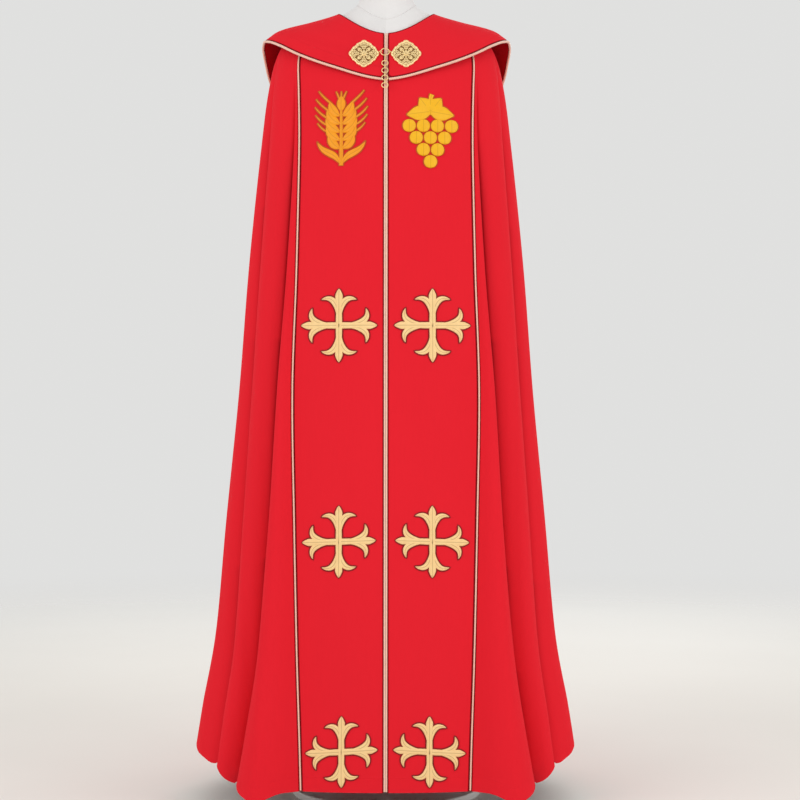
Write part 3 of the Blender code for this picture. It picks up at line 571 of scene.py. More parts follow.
def folds(angle, level, side):
    """How far the folds push the cloth out and down: lobe = crest bulge^round less its two valleys."""
    angle = np.where(angle > math.pi, 2 * math.pi - angle, angle)
    seam = seam_angle(level)
    share = (angle - seam) / (math.pi - seam)
    swing = section("swing", level)
    out = np.zeros(np.broadcast(share, swing).shape)
    down = np.zeros_like(out)
    last_valley, last_share, last_lift, pinch = 0.0, 0.0, 0.0, 0.0
    for fold, (drop_from, drop_to, lift, lift_from, lift_to) in zip(FOLDS, HEM_LINE):
        chest, hem, crest, valley, power, late, drop, uneven = fold
        opened = swing**late
        here = chest + (hem - chest) * opened
        depth = valley * (1 + side * uneven) * opened
        t = np.clip((share - last_share) / (here - last_share), 0, 1)
        inside = (share > last_share) & (share <= here)
        bulge = 4 * t * (1 - t)
        lobe = crest * (1 + side * uneven) * opened * bulge**power
        lobe = lobe - last_valley * (1 - t) ** 3 - depth * t**3
        out = np.where(inside, lobe, out)
        lower = drop * fade(t, drop_from, drop_to) * (1 - t**3)
        higher = lift * fade(t, lift_from, lift_to) + last_lift * (1 - fade(t, 0, 0.15))
        down = np.where(inside, lower - higher, down)
        pinch = pinch + 0.0044 * np.exp(-(((share - here) / 0.0036) ** 2))
        last_valley, last_share, last_lift = depth, here, lift
    still = fade(share, 0.0, 0.06) * fade(1 - share, 0.0, 0.05) * swing**1.3
    wander = share + 0.012 * np.sin(0.9 * level + side)
    waves = np.sin(2 * math.pi * 17 * wander + side) + 0.6 * np.sin(2 * math.pi * 29 * wander + 2 * side)
    return out + 0.0008 * still * waves - pinch * fade(level, 3.4, 5.2), down * swing**4


def plan_normal(angle, level):
    """The outward direction in plan of the base ring."""
    step = 1e-4
    tangent = base_surface(angle + step, level) - base_surface(angle - step, level)
    across = np.stack([tangent[..., 1], -tangent[..., 0]], axis=-1)
    return across / np.linalg.norm(across, axis=-1, keepdims=True)


def mantle_surface(side):
    """The mantle's outer face for the half at +X, with the folds of one side."""

    def surface(angle, level):
        points = base_surface(angle, level).copy()
        out, down = folds(angle, level, side)
        points[..., :2] += plan_normal(angle, level) * out[..., None]
        points[..., 2] -= down
        return points

    return surface


def normals(surface, a, b):
    """Outward unit normals from small steps either way, kept inside the table's ends."""
    step = 1e-4
    low = np.clip(b - step, 0, len(SECTIONS) - 1 - 2 * step)
    along_a = surface(a + step, b) - surface(a - step, b)
    along_b = surface(a, low + 2 * step) - surface(a, low)
    out = np.cross(along_b, along_a)
    return out / np.linalg.norm(out, axis=-1, keepdims=True)


def offset(surface, a, b, distance):
    """Points of a surface moved out along its normals."""
    return surface(a, b) + normals(surface, a, b) * np.asarray(distance, float)[..., None]


def arc(points, axis):
    """Length run along a grid's rows or columns, from the first point of each."""
    steps = np.linalg.norm(np.diff(points, axis=axis), axis=-1)
    total = np.cumsum(steps, axis=axis)
    return np.insert(total, 0, 0, axis=axis)


print("folds on a side", len(FOLDS))

# %% [markdown]
# ## The mantle
#
# Each half of the mantle runs from its front band round to the middle of the back. Its columns are
# set closer at the valleys, where the cloth turns most. The wall is made of two grids, because a
# modifier's inner face would cross itself in the sharp valleys. The hem is turned up inside, so the
# wall is half as thick again over the last 26 millimetres.

# %% Mantle halves
MANTLE_LEVELS = np.concatenate(
    [np.linspace(0, 4, 25), np.linspace(4, 9, 101)[1:], np.linspace(9, 11, 41)[1:]]
)
MANTLE_COLUMNS = (26, 24, 30, 24, 24, 24, 12)
VALLEYS = np.cumsum(MANTLE_COLUMNS)[:-1]
UNDER_CORD = 0.0017
# for each valley: levels and how strong the painted shade line in it is there
FRONT_FOLD_SHADE = ((4.9, 5.5, 7.6, 8.2, 9.2, 11), (0, 0.95, 0.95, 0.75, 0.55, 0.6))
SIDE_FOLD_SHADE = ((4.6, 5.1, 11), (0, 0.5, 0.65))
BACK_FOLD_SHADE = ((5.2, 6.5, 11), (0, 0.4, 0.4))
FOLD_SHADES = (FRONT_FOLD_SHADE, SIDE_FOLD_SHADE) + (BACK_FOLD_SHADE,) * 4


def painted_fold_shade(points, across, level, k):
    """The painted shade line in valley k: its colour is deepened where the fold in front would shade the cloth. It is
    full where that fold hides the cloth, that is where |x| is less than that fold's widest, and dies away in 6 mm
    behind that and 3 mm up the fold's side."""
    valley, start = VALLEYS[k], VALLEYS[k - 1] if k else 0
    away = across - across[:, valley : valley + 1]
    wide = np.abs(points[..., 0])
    behind = (wide < wide[:, start:valley].max(axis=1, keepdims=True)) & (away > 0) & (away < 0.06)
    hidden = np.where(behind, away, 0).max(axis=1, keepdims=True) if k < 2 else 0
    faded = np.where(away > 0, np.maximum(away - hidden, 0) / 0.006, -away / 0.003)
    return np.interp(level, *FOLD_SHADES[k]) * np.exp(-faded)



def mantle_angles(levels):
    """Angles of the mantle's columns: each fold has its own, eased with a cosine towards its valleys."""
    seam = seam_angle(levels)[:, None]
    swing = section("swing", levels)[:, None]
    shares, last = [], np.zeros_like(swing)
    for count, fold in zip(MANTLE_COLUMNS, FOLDS):
        here = fold[0] + (fold[1] - fold[0]) * swing ** fold[5]
        steps = np.linspace(0, 0.5 if fold is FOLDS[-1] else 1, count + 1)[:-1]
        shares.append(last + (here - last) * (1 - np.cos(math.pi * steps)) / 2)
        last = here
    shares.append(np.ones_like(swing))
    angles = seam + (math.pi - seam) * np.concatenate(shares, axis=1)
    edge = SEAM_GAP / 2 / section("width", levels)
    angles[:, 0] += edge
    angles[:, -1] -= edge ** (section("square", levels) / 2)
    return angles


def spot(made, name, values):
    """A value for each point of a wall, outside and inside alike, that its material can read."""
    layer = made.data.attributes.new(name, "FLOAT", "POINT")
    layer.data.foreach_set("value", np.tile(values.astype(np.float32).ravel(), 2))


def cloth_piece(name, surface, a, b, side, thick, node, sewn, hem=True):
    """A wall of cloth on a surface, and what was measured of it. sewn says which edges have a seam, and with it where
    shade is painted: beside each seam and edge, and along the mantle's fold valleys.
    """
    outer = surface(a, b)
    across, along = arc(outer, 1), arc(outer[::-1], 0)[::-1]
    turned_up = thick * 0.5 * (1 - fade(along, 0.024, 0.028)) if hem else 0
    inner = offset(surface, a, b, -(thick + turned_up) * np.ones_like(a))
    mirror = np.array([side, 1, 1])
    part = wall(outer * mirror, inner * mirror, across, along, side < 0)
    made = make_piece(name, [part], [cope_red, lining_and_shade_red], [(0, 1, 0)], [node], sharp=60)
    end = across[:, -1:] - across
    if sewn == "mantle":
        gap = across - UNDER_CORD
        # painted shade in the fold valleys, one line for each valley
        lines = [painted_fold_shade(outer, across, b, k) for k in range(len(VALLEYS))]
        spot(made, "painted_fold_shade", np.max(lines, axis=0))
    elif sewn == "band":
        gap = np.minimum(across, end - UNDER_CORD)
    else:
        gap = np.minimum(np.minimum(across, end), np.minimum(along, along[:1] - along))
    # distance from each seam or edge, for the shade painted beside it
    spot(made, "edge_shade_distance", gap)
    cells = quads(*outer.shape[:2])[0]
    p, q, r, s = (outer.reshape(-1, 3)[cells[:, k]] for k in range(4))
    area = 0.5 * np.linalg.norm(np.cross(r - p, s - q), axis=1).sum()
    print(name, "area", round(area, 3), "widest", round(across.max(), 3), "longest", round(along.max(), 3))
    return made, area, across.max(), along.max()


mantles = {}
for side, word in ((1, "right"), (-1, "left")):
    angles = mantle_angles(MANTLE_LEVELS)
    levels = np.repeat(MANTLE_LEVELS[:, None], angles.shape[1], axis=1)
    mantles[word] = cloth_piece(
        f"mantle_cloth_{word}", mantle_surface(side), angles, levels, side, CLOTH, f"mantle_{word}", "mantle"
    )
    print(triangles(mantles[word][0]), "triangles")

# %% [markdown]
# ## The front bands
#
# The two front bands are flat strips, stiffened inside, so they fall straight from neck to hem and
# carry the badges. They barely move: a long wave of less than a millimetre keeps them from looking
# like board. It dies away under the collar and at both edges, where cords and seams hold the cloth.


# %% Bands
def band_limits(level):
    return section("slit", level), section("band", level) - SEAM_GAP / 2


def band_surface(side):
    """The base surface moved by waves: sin(pi s) across the band times two sines down it."""

    def surface(angle, level):
        points = base_surface(angle, level)
        inner, outer = band_limits(level)
        share = np.clip((np.abs(points[..., 0]) - inner) / (outer - inner), 0, 1)
        down = np.sin(1.9 * level + side) + 0.6 * np.sin(4.3 * level - 2 * side) + 0.5 * np.sin(2 * math.pi * share)
        depth = 0.0006 * np.sin(math.pi * share) * fade(level, 3.2, 4.2) * down
        return points + normals(base_surface, angle, level) * depth[..., None]

    return surface


def band_grid(levels, columns):
    levels = np.repeat(levels[:, None], columns + 1, axis=1)
    inner, outer = band_limits(levels)
    return angle_at(inner + (outer - inner) * np.linspace(0, 1, columns + 1), levels), levels


bands = {}
for side, word in ((1, "right"), (-1, "left")):
    angles, levels = band_grid(MANTLE_LEVELS, 40)
    bands[word] = cloth_piece(
        f"band_cloth_{word}", band_surface(side), angles, levels, side, CLOTH, f"band_{word}", "band"
    )

# %% [markdown]
# ## The collar
#
# The cape collar lies over the shoulders, juts past them in two points and hangs down behind as a
# shallow hood. It is the base surface moved outwards, more and more towards the edge. Two short
# tables give how far down it reaches and how far its edge stands off at each angle.

# %% Collar
COLLAR_EDGE = np.array((
    (0, 3.20, 0.0065), (25, 2.62, 0.009), (50, 2.42, 0.014), (66, 2.30, 0.021),
    (77, 2.27, 0.029), (88, 2.27, 0.036), (94, 2.38, 0.037), (100, 2.75, 0.031),
    (107, 3.20, 0.026), (116, 3.60, 0.024), (150, 4.62, 0.018), (180, 5.23, 0.013),
))


def collar_edge(angle, column):
    degrees = np.degrees(np.where(angle > math.pi, 2 * math.pi - angle, angle))
    return smooth(COLLAR_EDGE[:, 0], COLLAR_EDGE[:, column], degrees)


def collar_surface(angle, across):
    """Base surface at level = reach x across, moved out by neck lift + (edge - neck lift) across^1.3."""
    at_neck = SEAT_GAP + COLLAR_CLOTH
    lift = at_neck + (collar_edge(angle, 2) - at_neck) * np.abs(across) ** 1.3
    return offset(base_surface, angle, collar_edge(angle, 1) * across, lift)


def collar_grid(rows, half_columns):
    """Angles from the front edge at +X, round behind the neck, to the front edge at -X."""
    across = np.linspace(0, 1, rows + 1)[:, None]
    level = collar_edge(np.zeros_like(across), 1) * across
    start = angle_at(section("slit", level) + TOUCH, level)
    half = start + (math.pi - start) * np.linspace(0, 1, half_columns + 1)
    angles = np.concatenate([half, 2 * math.pi - half[:, -2::-1]], axis=1)
    return angles, np.repeat(across, angles.shape[1], axis=1)


collar, collar_area, collar_width, collar_length = cloth_piece(
    "collar_cloth", collar_surface, *collar_grid(40, 130), 1, COLLAR_CLOTH, "collar", "collar", hem=False
)
print(triangles(collar), "triangles")

# %% [markdown]
# ## Cords
#
# Twisted gold cord edges the collar, the front opening and the seams beside the bands. A twisted cord
# could be two curves wound round each other. One skin with a fluted section that turns as it goes
# looks the same and stays light: radius = R (1 - depth (1 - |cos(strands / 2 (turn - 2 pi s / pitch))|)).


# %% Cord helpers
def even(path, step):
    """The same path with points a step apart along its length."""
    length = arc(path, 0)
    at = np.linspace(0, length[-1], max(2, int(round(length[-1] / step)) + 1))
    return np.stack([np.interp(at, length, path[:, k]) for k in range(3)], axis=-1), at


def twisted(path, up, radius, strands, pitch, depth, square=2.0, columns=12, step=0.0012):
    """A fluted skin along a path. up is a rough outward direction; square > 2 flattens the section."""
    path, run = even(path, step)
    tangent = np.gradient(path, axis=0)
    tangent /= np.linalg.norm(tangent, axis=1, keepdims=True)
    side = np.cross(tangent, up)
    side /= np.linalg.norm(side, axis=1, keepdims=True)
    up = np.cross(side, tangent)
    turn = np.linspace(0, 2 * math.pi, columns, endpoint=False)[None, :]
    flute = np.abs(np.cos(strands / 2 * (turn - 2 * math.pi * run[:, None] / pitch)))
    shape = (np.abs(np.cos(turn)) ** square + np.abs(np.sin(turn)) ** square) ** (-1 / square)
    reach = (radius * shape * (1 - depth * (1 - flute)))[..., None]
    rings = path[:, None] + reach * (np.cos(turn)[..., None] * side[:, None] + np.sin(turn)[..., None] * up[:, None])
    around = np.linspace(0, 2 * math.pi * radius, columns + 1)[None, :]
    return skin(rings, around, run[:, None])


print("cord helpers ready")

# %% Front edge and seam cords
EDGE_CORD, SEAM_CORD, COLLAR_CORD = 0.0017, 0.0016, 0.0025
front = np.array([0.0, -1.0, 0.0])
for side, word in ((1, "right"), (-1, "left")):
    mirror = np.array([side, 1, 1])
    level = np.linspace(0.02, 10.98, 400)
    angle = angle_at(section("slit", level) - TOUCH - EDGE_CORD, level)
    path = offset(base_surface, angle, level, 0.0018 * (1 - fade(level, 3.1, 3.6))) * mirror
    part = twisted(path, front, EDGE_CORD, 2, 0.007 * side, 0.14, square=4.0, columns=16)
    make_piece(
        f"edge_piping_{word}", [part], [piping_gold], [(0, 0, 0)], [f"edge_cord_{word}"]
    )
    level = np.linspace(2.05, 10.98, 400)
    lift = np.full(len(level), SEAM_CORD + 2 * TOUCH)
    path = offset(mantle_surface(side), seam_angle(level), level, lift) * mirror
    part = twisted(path, front, SEAM_CORD, 2, 0.007 * side, 0.16, square=3.0, columns=14)
    make_piece(
        f"seam_piping_{word}", [part], [piping_gold], [(0, 0, 0)], [f"seam_cord_{word}"]
    )
    print(word, "seam cord", round(arc(path, 0)[-1], 3), "m")

# %% Collar cord
edge_grid = collar_surface(*collar_grid(60, 220))
edge = edge_grid[-1].copy()
edge[0] = (edge[0] + edge[1] * 0.3) / 1.3
edge[-1] = (edge[-1] + edge[-2] * 0.3) / 1.3
inwards = edge_grid[-2] - edge_grid[-1]
forward = np.gradient(edge, axis=0)
away = np.cross(forward, inwards)
away *= np.sign(away[:, 2:] + away[:, 1:2] * np.sign(edge[:, 1:2]))
away /= np.linalg.norm(away, axis=1, keepdims=True)
outward = np.cross(forward, away)
outward /= np.linalg.norm(outward, axis=1, keepdims=True)
outward *= -np.sign(np.sum(outward * inwards, axis=1, keepdims=True))
path = edge + outward * (COLLAR_CORD + 2 * TOUCH) - away * COLLAR_CLOTH / 2
lie = np.array([0.0, 0.0, 1.0])
part = twisted(path, lie, COLLAR_CORD, 3, 0.013, 0.22, columns=18, step=0.0013)
make_piece(
    "collar_piping", [part], [piping_gold], [(0, 0, 0)], ["collar_cord"]
)

# %% [markdown]
# ## Embroidered badges
#
# A badge is worked on its own ground and sewn to the band. Its shapes are petals: a line with a width
# that swells and closes, domed over padding, with a dip along the middle where the two halves of the
# stitch meet. Petals are worked out flat and then laid on the cloth: Newton's method finds the angle
# and level whose point has the wanted x and z, and the height goes along the normal there.


# %% Petals and laying
def find_on(surface, x, z, a, b):
    """The two parameters at which a surface has this x and z, by Newton's method."""
    a, b = np.full(np.shape(x), float(a)), np.full(np.shape(x), float(b))
    step = 1e-4
    for _ in range(20):
        here = surface(a, b)
        if np.abs(here[..., 0] - x).max() + np.abs(here[..., 2] - z).max() < 1e-6:
            break
        by_a = (surface(a + step, b) - here) / step
        by_b = (surface(a, b + step) - here) / step
        miss_x, miss_z = x - here[..., 0], z - here[..., 2]
        det = by_a[..., 0] * by_b[..., 2] - by_b[..., 0] * by_a[..., 2]
        a = a + np.clip((miss_x * by_b[..., 2] - miss_z * by_b[..., 0]) / det, -0.1, 0.1)
        b = b + np.clip((miss_z * by_a[..., 0] - miss_x * by_a[..., 2]) / det, -0.3, 0.3)
        a, b = np.clip(a, 0.002, math.pi / 2), np.maximum(b, 0)
    return a, b


def bend(p0, p1, p2, p3, count=26):
    """A cubic curve: the four points weighted by (1-t)^3, 3(1-t)^2 t, 3(1-t) t^2 and t^3."""
    t = np.linspace(0, 1, count)[:, None]
    p0, p1, p2, p3 = (np.array(p, float) for p in (p0, p1, p2, p3))
    return p0 * (1 - t) ** 3 + p1 * 3 * (1 - t) ** 2 * t + p2 * 3 * (1 - t) * t**2 + p3 * t**3


def petal(spine, widths, height, groove=0.3, columns=18):
    """A flat spine (x, z), half widths at even steps and a dome: up = height sin^0.8 less the groove."""
    run = arc(spine, 0)
    share = run / run[-1]
    half = smooth(np.linspace(0, 1, len(widths)), widths, share)[:, None]
    forward = np.gradient(spine, axis=0)
    forward /= np.linalg.norm(forward, axis=1, keepdims=True)
    sideways = np.stack([forward[:, 1], -forward[:, 0]], axis=-1)
    turn = np.linspace(0, 2 * math.pi, columns, endpoint=False)[None, :]
    across = np.cos(turn) * half
    rise = np.minimum(1, half / (0.5 * max(widths)))
    dome = np.abs(np.sin(turn)) ** 0.8 * (1 - groove * np.exp(-((np.cos(turn) / 0.2) ** 2)))
    up = np.where(np.sin(turn) > 0, height * rise * dome, -0.0003 * np.abs(np.sin(turn)))
    flat = spine[:, None] + across[..., None] * sideways[:, None]
    middle = np.concatenate([across, across[:, :1]], axis=1)
    return flat, up, middle, run[:, None]


def grown(shape, more, height):
    """The same petal made wider and flat, for the edge round it: painted shadow round a cross, an orange outline
    thread round a motif.
    """
    flat, up, middle, run = shape
    centre = flat.mean(axis=1, keepdims=True)
    spread = flat - centre
    size = np.linalg.norm(spread, axis=-1, keepdims=True)
    half = size.max(axis=1, keepdims=True)
    flat = centre + spread * (1 + more / np.maximum(half, 0.0008))
    ends = flat[[1, -2]] - flat[[0, -1]]
    ends /= np.maximum(np.linalg.norm(ends, axis=-1, keepdims=True), 1e-9)
    flat[[0, -1]] -= ends * more * 0.5
    return flat, np.clip(up, -0.0003, height), middle, run


BADGE_LIFT = 0.0007


def band_middle(height):
    half_width = np.interp(height, SECTIONS[::-1, 0], SECTIONS[::-1, SECTION_NAMES.index("band")])
    return half_width / 2 + 0.002


def lay(shapes, side, middle, flat_surface, surface, lift, start):
    """Lays flat shapes on a surface round a middle (x, z): all their points are found in one go."""
    x = np.concatenate([flat[..., 0].ravel() for flat, *_ in shapes]) * side + middle[0]
    z = np.concatenate([flat[..., 1].ravel() for flat, *_ in shapes]) + middle[1]
    up = np.concatenate([up.ravel() for _, up, *_ in shapes])
    a, b = find_on(flat_surface, x, z, *start)
    points = offset(surface, a, b, lift + up) * np.array([side, 1, 1])
    ends = np.cumsum([up.size for _, up, *_ in shapes])
    pieces = np.split(points, ends[:-1])
    return [skin(p.reshape(*up.shape, 3), across, run) for p, (_, up, across, run) in zip(pieces, shapes)]


def on_band(shapes, side, height):
    """Lays petals on the front band, round its middle at that height."""
    start = float(np.interp(-height, -SECTIONS[:, 0], np.arange(len(SECTIONS))))
    middle = (band_middle(height), height)
    return lay(shapes, side, middle, base_surface, band_surface(side), BADGE_LIFT, (0.4, start))


print("badge helpers ready")

# %% [markdown]
# ### Crosses
#
# Six crosses stand on the bands, three to a side. Each arm is a narrow lance between two leaves that
# curl away from it near the tip, in gold thread. A flat deep red-brown edge round each shape is painted
# shadow of the raised thread on the cloth. One arm is drawn along its own axis, in shares of its reach,
# then turned four times.

# %% Cross
ACROSS, UPWARD = 0.0725, 0.0700


def turned(points, quarter, droop=0.0):
    """Points (along, aside) of an arm, turned by quarters, scaled to x and z, lowered by droop times x."""
    turn = quarter * math.pi / 2
    along, aside = points[:, 0], points[:, 1]
    x = along * math.cos(turn) - aside * math.sin(turn)
    z = along * math.sin(turn) + aside * math.cos(turn)
    return np.stack([x * ACROSS, z * UPWARD - droop * x * ACROSS], axis=-1)


LEAF_WIDTHS = np.array([0.030, 0.037, 0.045, 0.055, 0.067, 0.077, 0.079, 0.070, 0.051, 0.027, 0.002])
LANCE_WIDTHS = np.array([0.080, 0.086, 0.084, 0.082, 0.080, 0.080, 0.084, 0.094, 0.100, 0.066, 0.003])
LEAF_SCALE, LANCE_SCALE = 0.0725, 0.0720


def cross_petals(size, droop):
    """A lance and two curled leaves for each arm; the upright lances lie a little higher."""
    shapes = []
    for quarter in range(4):
        for side in (1, -1):
            start, pull = (0.12, 0.030 * side), (0.62, 0.005 * side)
            leaf = bend(start, pull, (0.83, 0.190 * side), (0.682, 0.485 * side))
            widths = LEAF_WIDTHS * LEAF_SCALE * size
            shapes.append(petal(turned(leaf, quarter, droop) * size, widths, 0.0017, 0.25))
    for quarter in (0, 2, 1, 3):
        lance = np.stack([np.linspace(-0.06, 1.0, 44), np.zeros(44)], axis=-1)
        widths = LANCE_WIDTHS * LANCE_SCALE
        height = 0.0021 + 0.0003 * (quarter % 2)
        shapes.append(petal(turned(lance, quarter, droop) * size, widths * size, height, 0.45))
    return shapes


# Height, size, and how much the arms fall outward, as the cloth's own weft does on the lower band.
CROSSES = {"upper": (0.934, 1.025, 0.0), "middle": (0.522, 0.98, 0.040), "lower": (0.130, 0.95, 0.070)}
badges = {"left": [], "right": []}
for row, (height, size, droop) in CROSSES.items():
    for side, word in ((1, "right"), (-1, "left")):
        shapes = cross_petals(size, droop * side)
        # The grown edges are flat sheets painted as the shadow of the cross on the cloth.
        edges = [grown(shape, 0.0024, 0.0006) for shape in shapes]
        parts = on_band(shapes + edges, side, height)
        slots = [(0, 0, 0)] * len(shapes) + [(1, 1, 1)] * len(edges)
        made = make_piece(
            f"gold_cross_{row}_{word}",
            parts,
            [cross_thread, painted_cross_shadow],
            slots,
            [f"cross_{row}_{word}"],
        )
        badges[word].append(made)
print("a cross", triangles(badges["left"][0]), "triangles")

# %% [markdown]
# ### Wheat and grapes
#
# The two places at the breast hold an ear of wheat in amber and a bunch of grapes in yellow, plain and
# common signs on church cloth. Both are made of the same petals as the crosses, fuller and without
# sharp curls, with an orange edge round them.


# %% Wheat
BEARD_WIDTHS = (0.0019, 0.0017, 0.0014, 0.0008)


def wheat_petals():
    """A stem, two blades at its foot, and pairs of grains with a beard each that lean out from it."""
    stem = np.stack([np.zeros(30), np.linspace(-0.070, 0.050, 30)], axis=-1)
    shapes = [petal(stem, (0.0040, 0.0038, 0.0034, 0.0030, 0.0026), 0.0012, 0.0)]
    blade_widths = (0.0012, 0.0050, 0.0066, 0.0058, 0.0034, 0.0006)
    for side in (1, -1):
        root, pull = (side * 0.002, -0.066), (side * 0.014, -0.040)
        blade = bend(root, pull, (side * 0.034, -0.050), (side * 0.047, -0.022))
        shapes.append(petal(blade, blade_widths, 0.0018, 0.35))
    for foot, reach in ((-0.036, 0.024), (-0.020, 0.028), (-0.004, 0.029), (0.012, 0.027), (0.028, 0.022)):
        for side in (1, -1):
            tip = np.array([side * reach, foot + 0.028])
            beard = bend(
                tip * 0.9 + np.array([0, 0.002]),
                tip + [side * 0.008, 0.006],
                tip + [side * 0.015, 0.012],
                tip + [side * 0.022, 0.022],
            )
            shapes.append(petal(beard, BEARD_WIDTHS, 0.0012, 0.0, 10))
            root, pull = (side * 0.003, foot), (side * 0.010, foot + 0.003)
            spine = bend(root, pull, (side * reach * 0.85, foot + 0.010), tip)
            shapes.append(petal(spine, (0.0020, 0.0066, 0.0084, 0.0078, 0.0050, 0.0008), 0.0028, 0.3))
    top = np.stack([np.zeros(26), np.linspace(0.038, 0.068, 26)], axis=-1)
    shapes.append(petal(top, (0.0030, 0.0070, 0.0086, 0.0078, 0.0048, 0.0008), 0.0030, 0.3))
    for lean in (-0.010, 0.0, 0.010):
        beard = bend((lean * 0.3, 0.058), (lean * 0.5, 0.066), (lean * 0.8, 0.071), (lean, 0.076))
        shapes.append(petal(beard, BEARD_WIDTHS, 0.0012, 0.0, 10))
    return shapes


# %% Grapes
def grape_petals():
    """Round berries in rows of four, three, two and one, under a leaf of five lobes and a stalk."""
    shapes = []
    circle = np.sqrt(np.clip(1 - np.linspace(-1, 1, 13) ** 2, 0.004, 1))
    stalk = bend((0.0, 0.030), (0.001, 0.045), (-0.002, 0.058), (0.003, 0.070))
    shapes.append(petal(stalk, (0.0048, 0.0040, 0.0038, 0.0046), 0.0014, 0.0))
    for turn, long in ((-8, 0.047), (52, 0.035), (128, 0.035), (188, 0.047), (90, 0.026)):
        way = np.array([math.cos(math.radians(turn)), math.sin(math.radians(turn))])
        spine = np.array([0.0, 0.036]) + way * np.linspace(0.002, long, 26)[:, None]
        shapes.append(petal(spine, (0.0060, 0.0125, 0.0150, 0.0130, 0.0072, 0.0010), 0.0021, 0.35))
    berry = 0.0130
    for row, count in enumerate((4, 3, 2, 1)):
        for i in range(count):
            middle = np.array([(i - (count - 1) / 2) * berry * 2.10, 0.008 - row * berry * 1.80])
            spine = middle + np.stack([np.zeros(26), np.linspace(berry, -berry, 26)], axis=-1)
            shapes.append(petal(spine, circle * berry, 0.0032, 0.0))
    return shapes


MOTIF_HEIGHT = 1.314
motifs = (
    ("wheat_ear", wheat_petals, -1, "left", "badge_wheat", amber_satin, "amber_thread"),
    ("grape_bunch", grape_petals, 1, "right", "badge_grapes", yellow_satin, "yellow_thread"),
)
for name, petals, side, word, node, thread, slot in motifs:
    shapes = petals()
    edges = [grown(shape, 0.0018, 0.0007) for shape in shapes]
    parts = on_band(shapes + edges, side, MOTIF_HEIGHT)
    slots = [(0, 0, 0)] * len(shapes) + [(1, 1, 1)] * len(edges)
    made = make_piece(name, parts, [thread, edge_orange], slots, [node])
    badges[word].append(made)
    print(name, len(shapes), "petals", triangles(made), "triangles")

# %% [markdown]
# ## The clasp
#
# Two brass plates, sewn to the collar, are joined by a ring through their eyes, and a short chain hangs
# from it. A plate is a square on its point with soft corners, cast with a raised border, a flower and
# open scrolls over a dull ground. The scrolls are wires on a flat plan, laid on the collar as the
# badges are on the band.

# %% Clasp plates
PLATE_RADIUS, PLATE_OFFSET, PLATE_HEIGHT, CLASP_SHIFT = 0.0295, 0.0412, 1.4685, -0.0020


def plate_reach(turn):
    """The border's distance from the middle: (|cos|^1.32 + |sin|^1.32)^(-1/1.32), with 12 soft waves."""
    reach = (np.abs(np.cos(turn)) ** 1.32 + np.abs(np.sin(turn)) ** 1.32) ** (-1 / 1.32)
    return PLATE_RADIUS * reach * (1 + 0.022 * np.cos(12 * turn))


def plate_ground():
    """Rings of the border's shape: out over a shallow top, down the edge and back underneath."""
    scale = np.array([0.02, 0.3, 0.6, 0.85, 0.96, 0.99, 0.99, 0.96, 0.5, 0.02])[:, None]
    up = np.array([0.0016, 0.0014, 0.0011, 0.0011, 0.0011, 0.0008, 0.0002, 0, 0, 0])[:, None]
    turn = np.linspace(0, 2 * math.pi, 96, endpoint=False)[None, :]
    reach = plate_reach(turn) * scale
    flat = np.stack([reach * np.cos(turn), reach * np.sin(turn)], axis=-1)
    return flat, up * np.ones_like(reach), np.linspace(0, 0.16, 97)[None, :], scale * PLATE_RADIUS


def plate_wire(path, radius, lift, beads=0, columns=10):
    """A round wire on the plate along a flat closed or open path, its radius swelling at beads."""
    forward = np.gradient(path, axis=0)
    if np.allclose(path[0], path[-1]):
        forward[0] = forward[-1] = path[1] - path[-2]
    forward /= np.linalg.norm(forward, axis=1, keepdims=True)
    sideways = np.stack([forward[:, 1], -forward[:, 0]], axis=-1)
    turn = np.linspace(0, 2 * math.pi, columns, endpoint=False)[None, :]
    share = np.linspace(0, 1, len(path))[:, None]
    thick = radius * (1 + 0.35 * (np.abs(np.sin(math.pi * beads * share)) - 0.5 if beads else 0 * share))
    flat = path[:, None] + (np.cos(turn) * thick)[..., None] * sideways[:, None]
    up = lift + np.sin(turn) * thick
    return flat, up, np.linspace(0, 0.006, columns + 1)[None, :], share * 0.05


def circle_path(x, z, radius, count=25):
    turn = np.linspace(0, 2 * math.pi, count)[:, None]
    return np.array([x, z]) + radius * np.concatenate([np.cos(turn), np.sin(turn)], axis=1)


def spiral_path(x, z, radius, start, way, turns=1.3, count=34):
    """A scroll: its radius shrinks to a fifth while it turns."""
    share = np.linspace(0, 1, count)[:, None]
    turn = start + way * 2 * math.pi * turns * share
    reach = radius * (1 - 0.8 * share)
    return np.array([x, z]) + reach * np.concatenate([np.cos(turn), np.sin(turn)], axis=1)


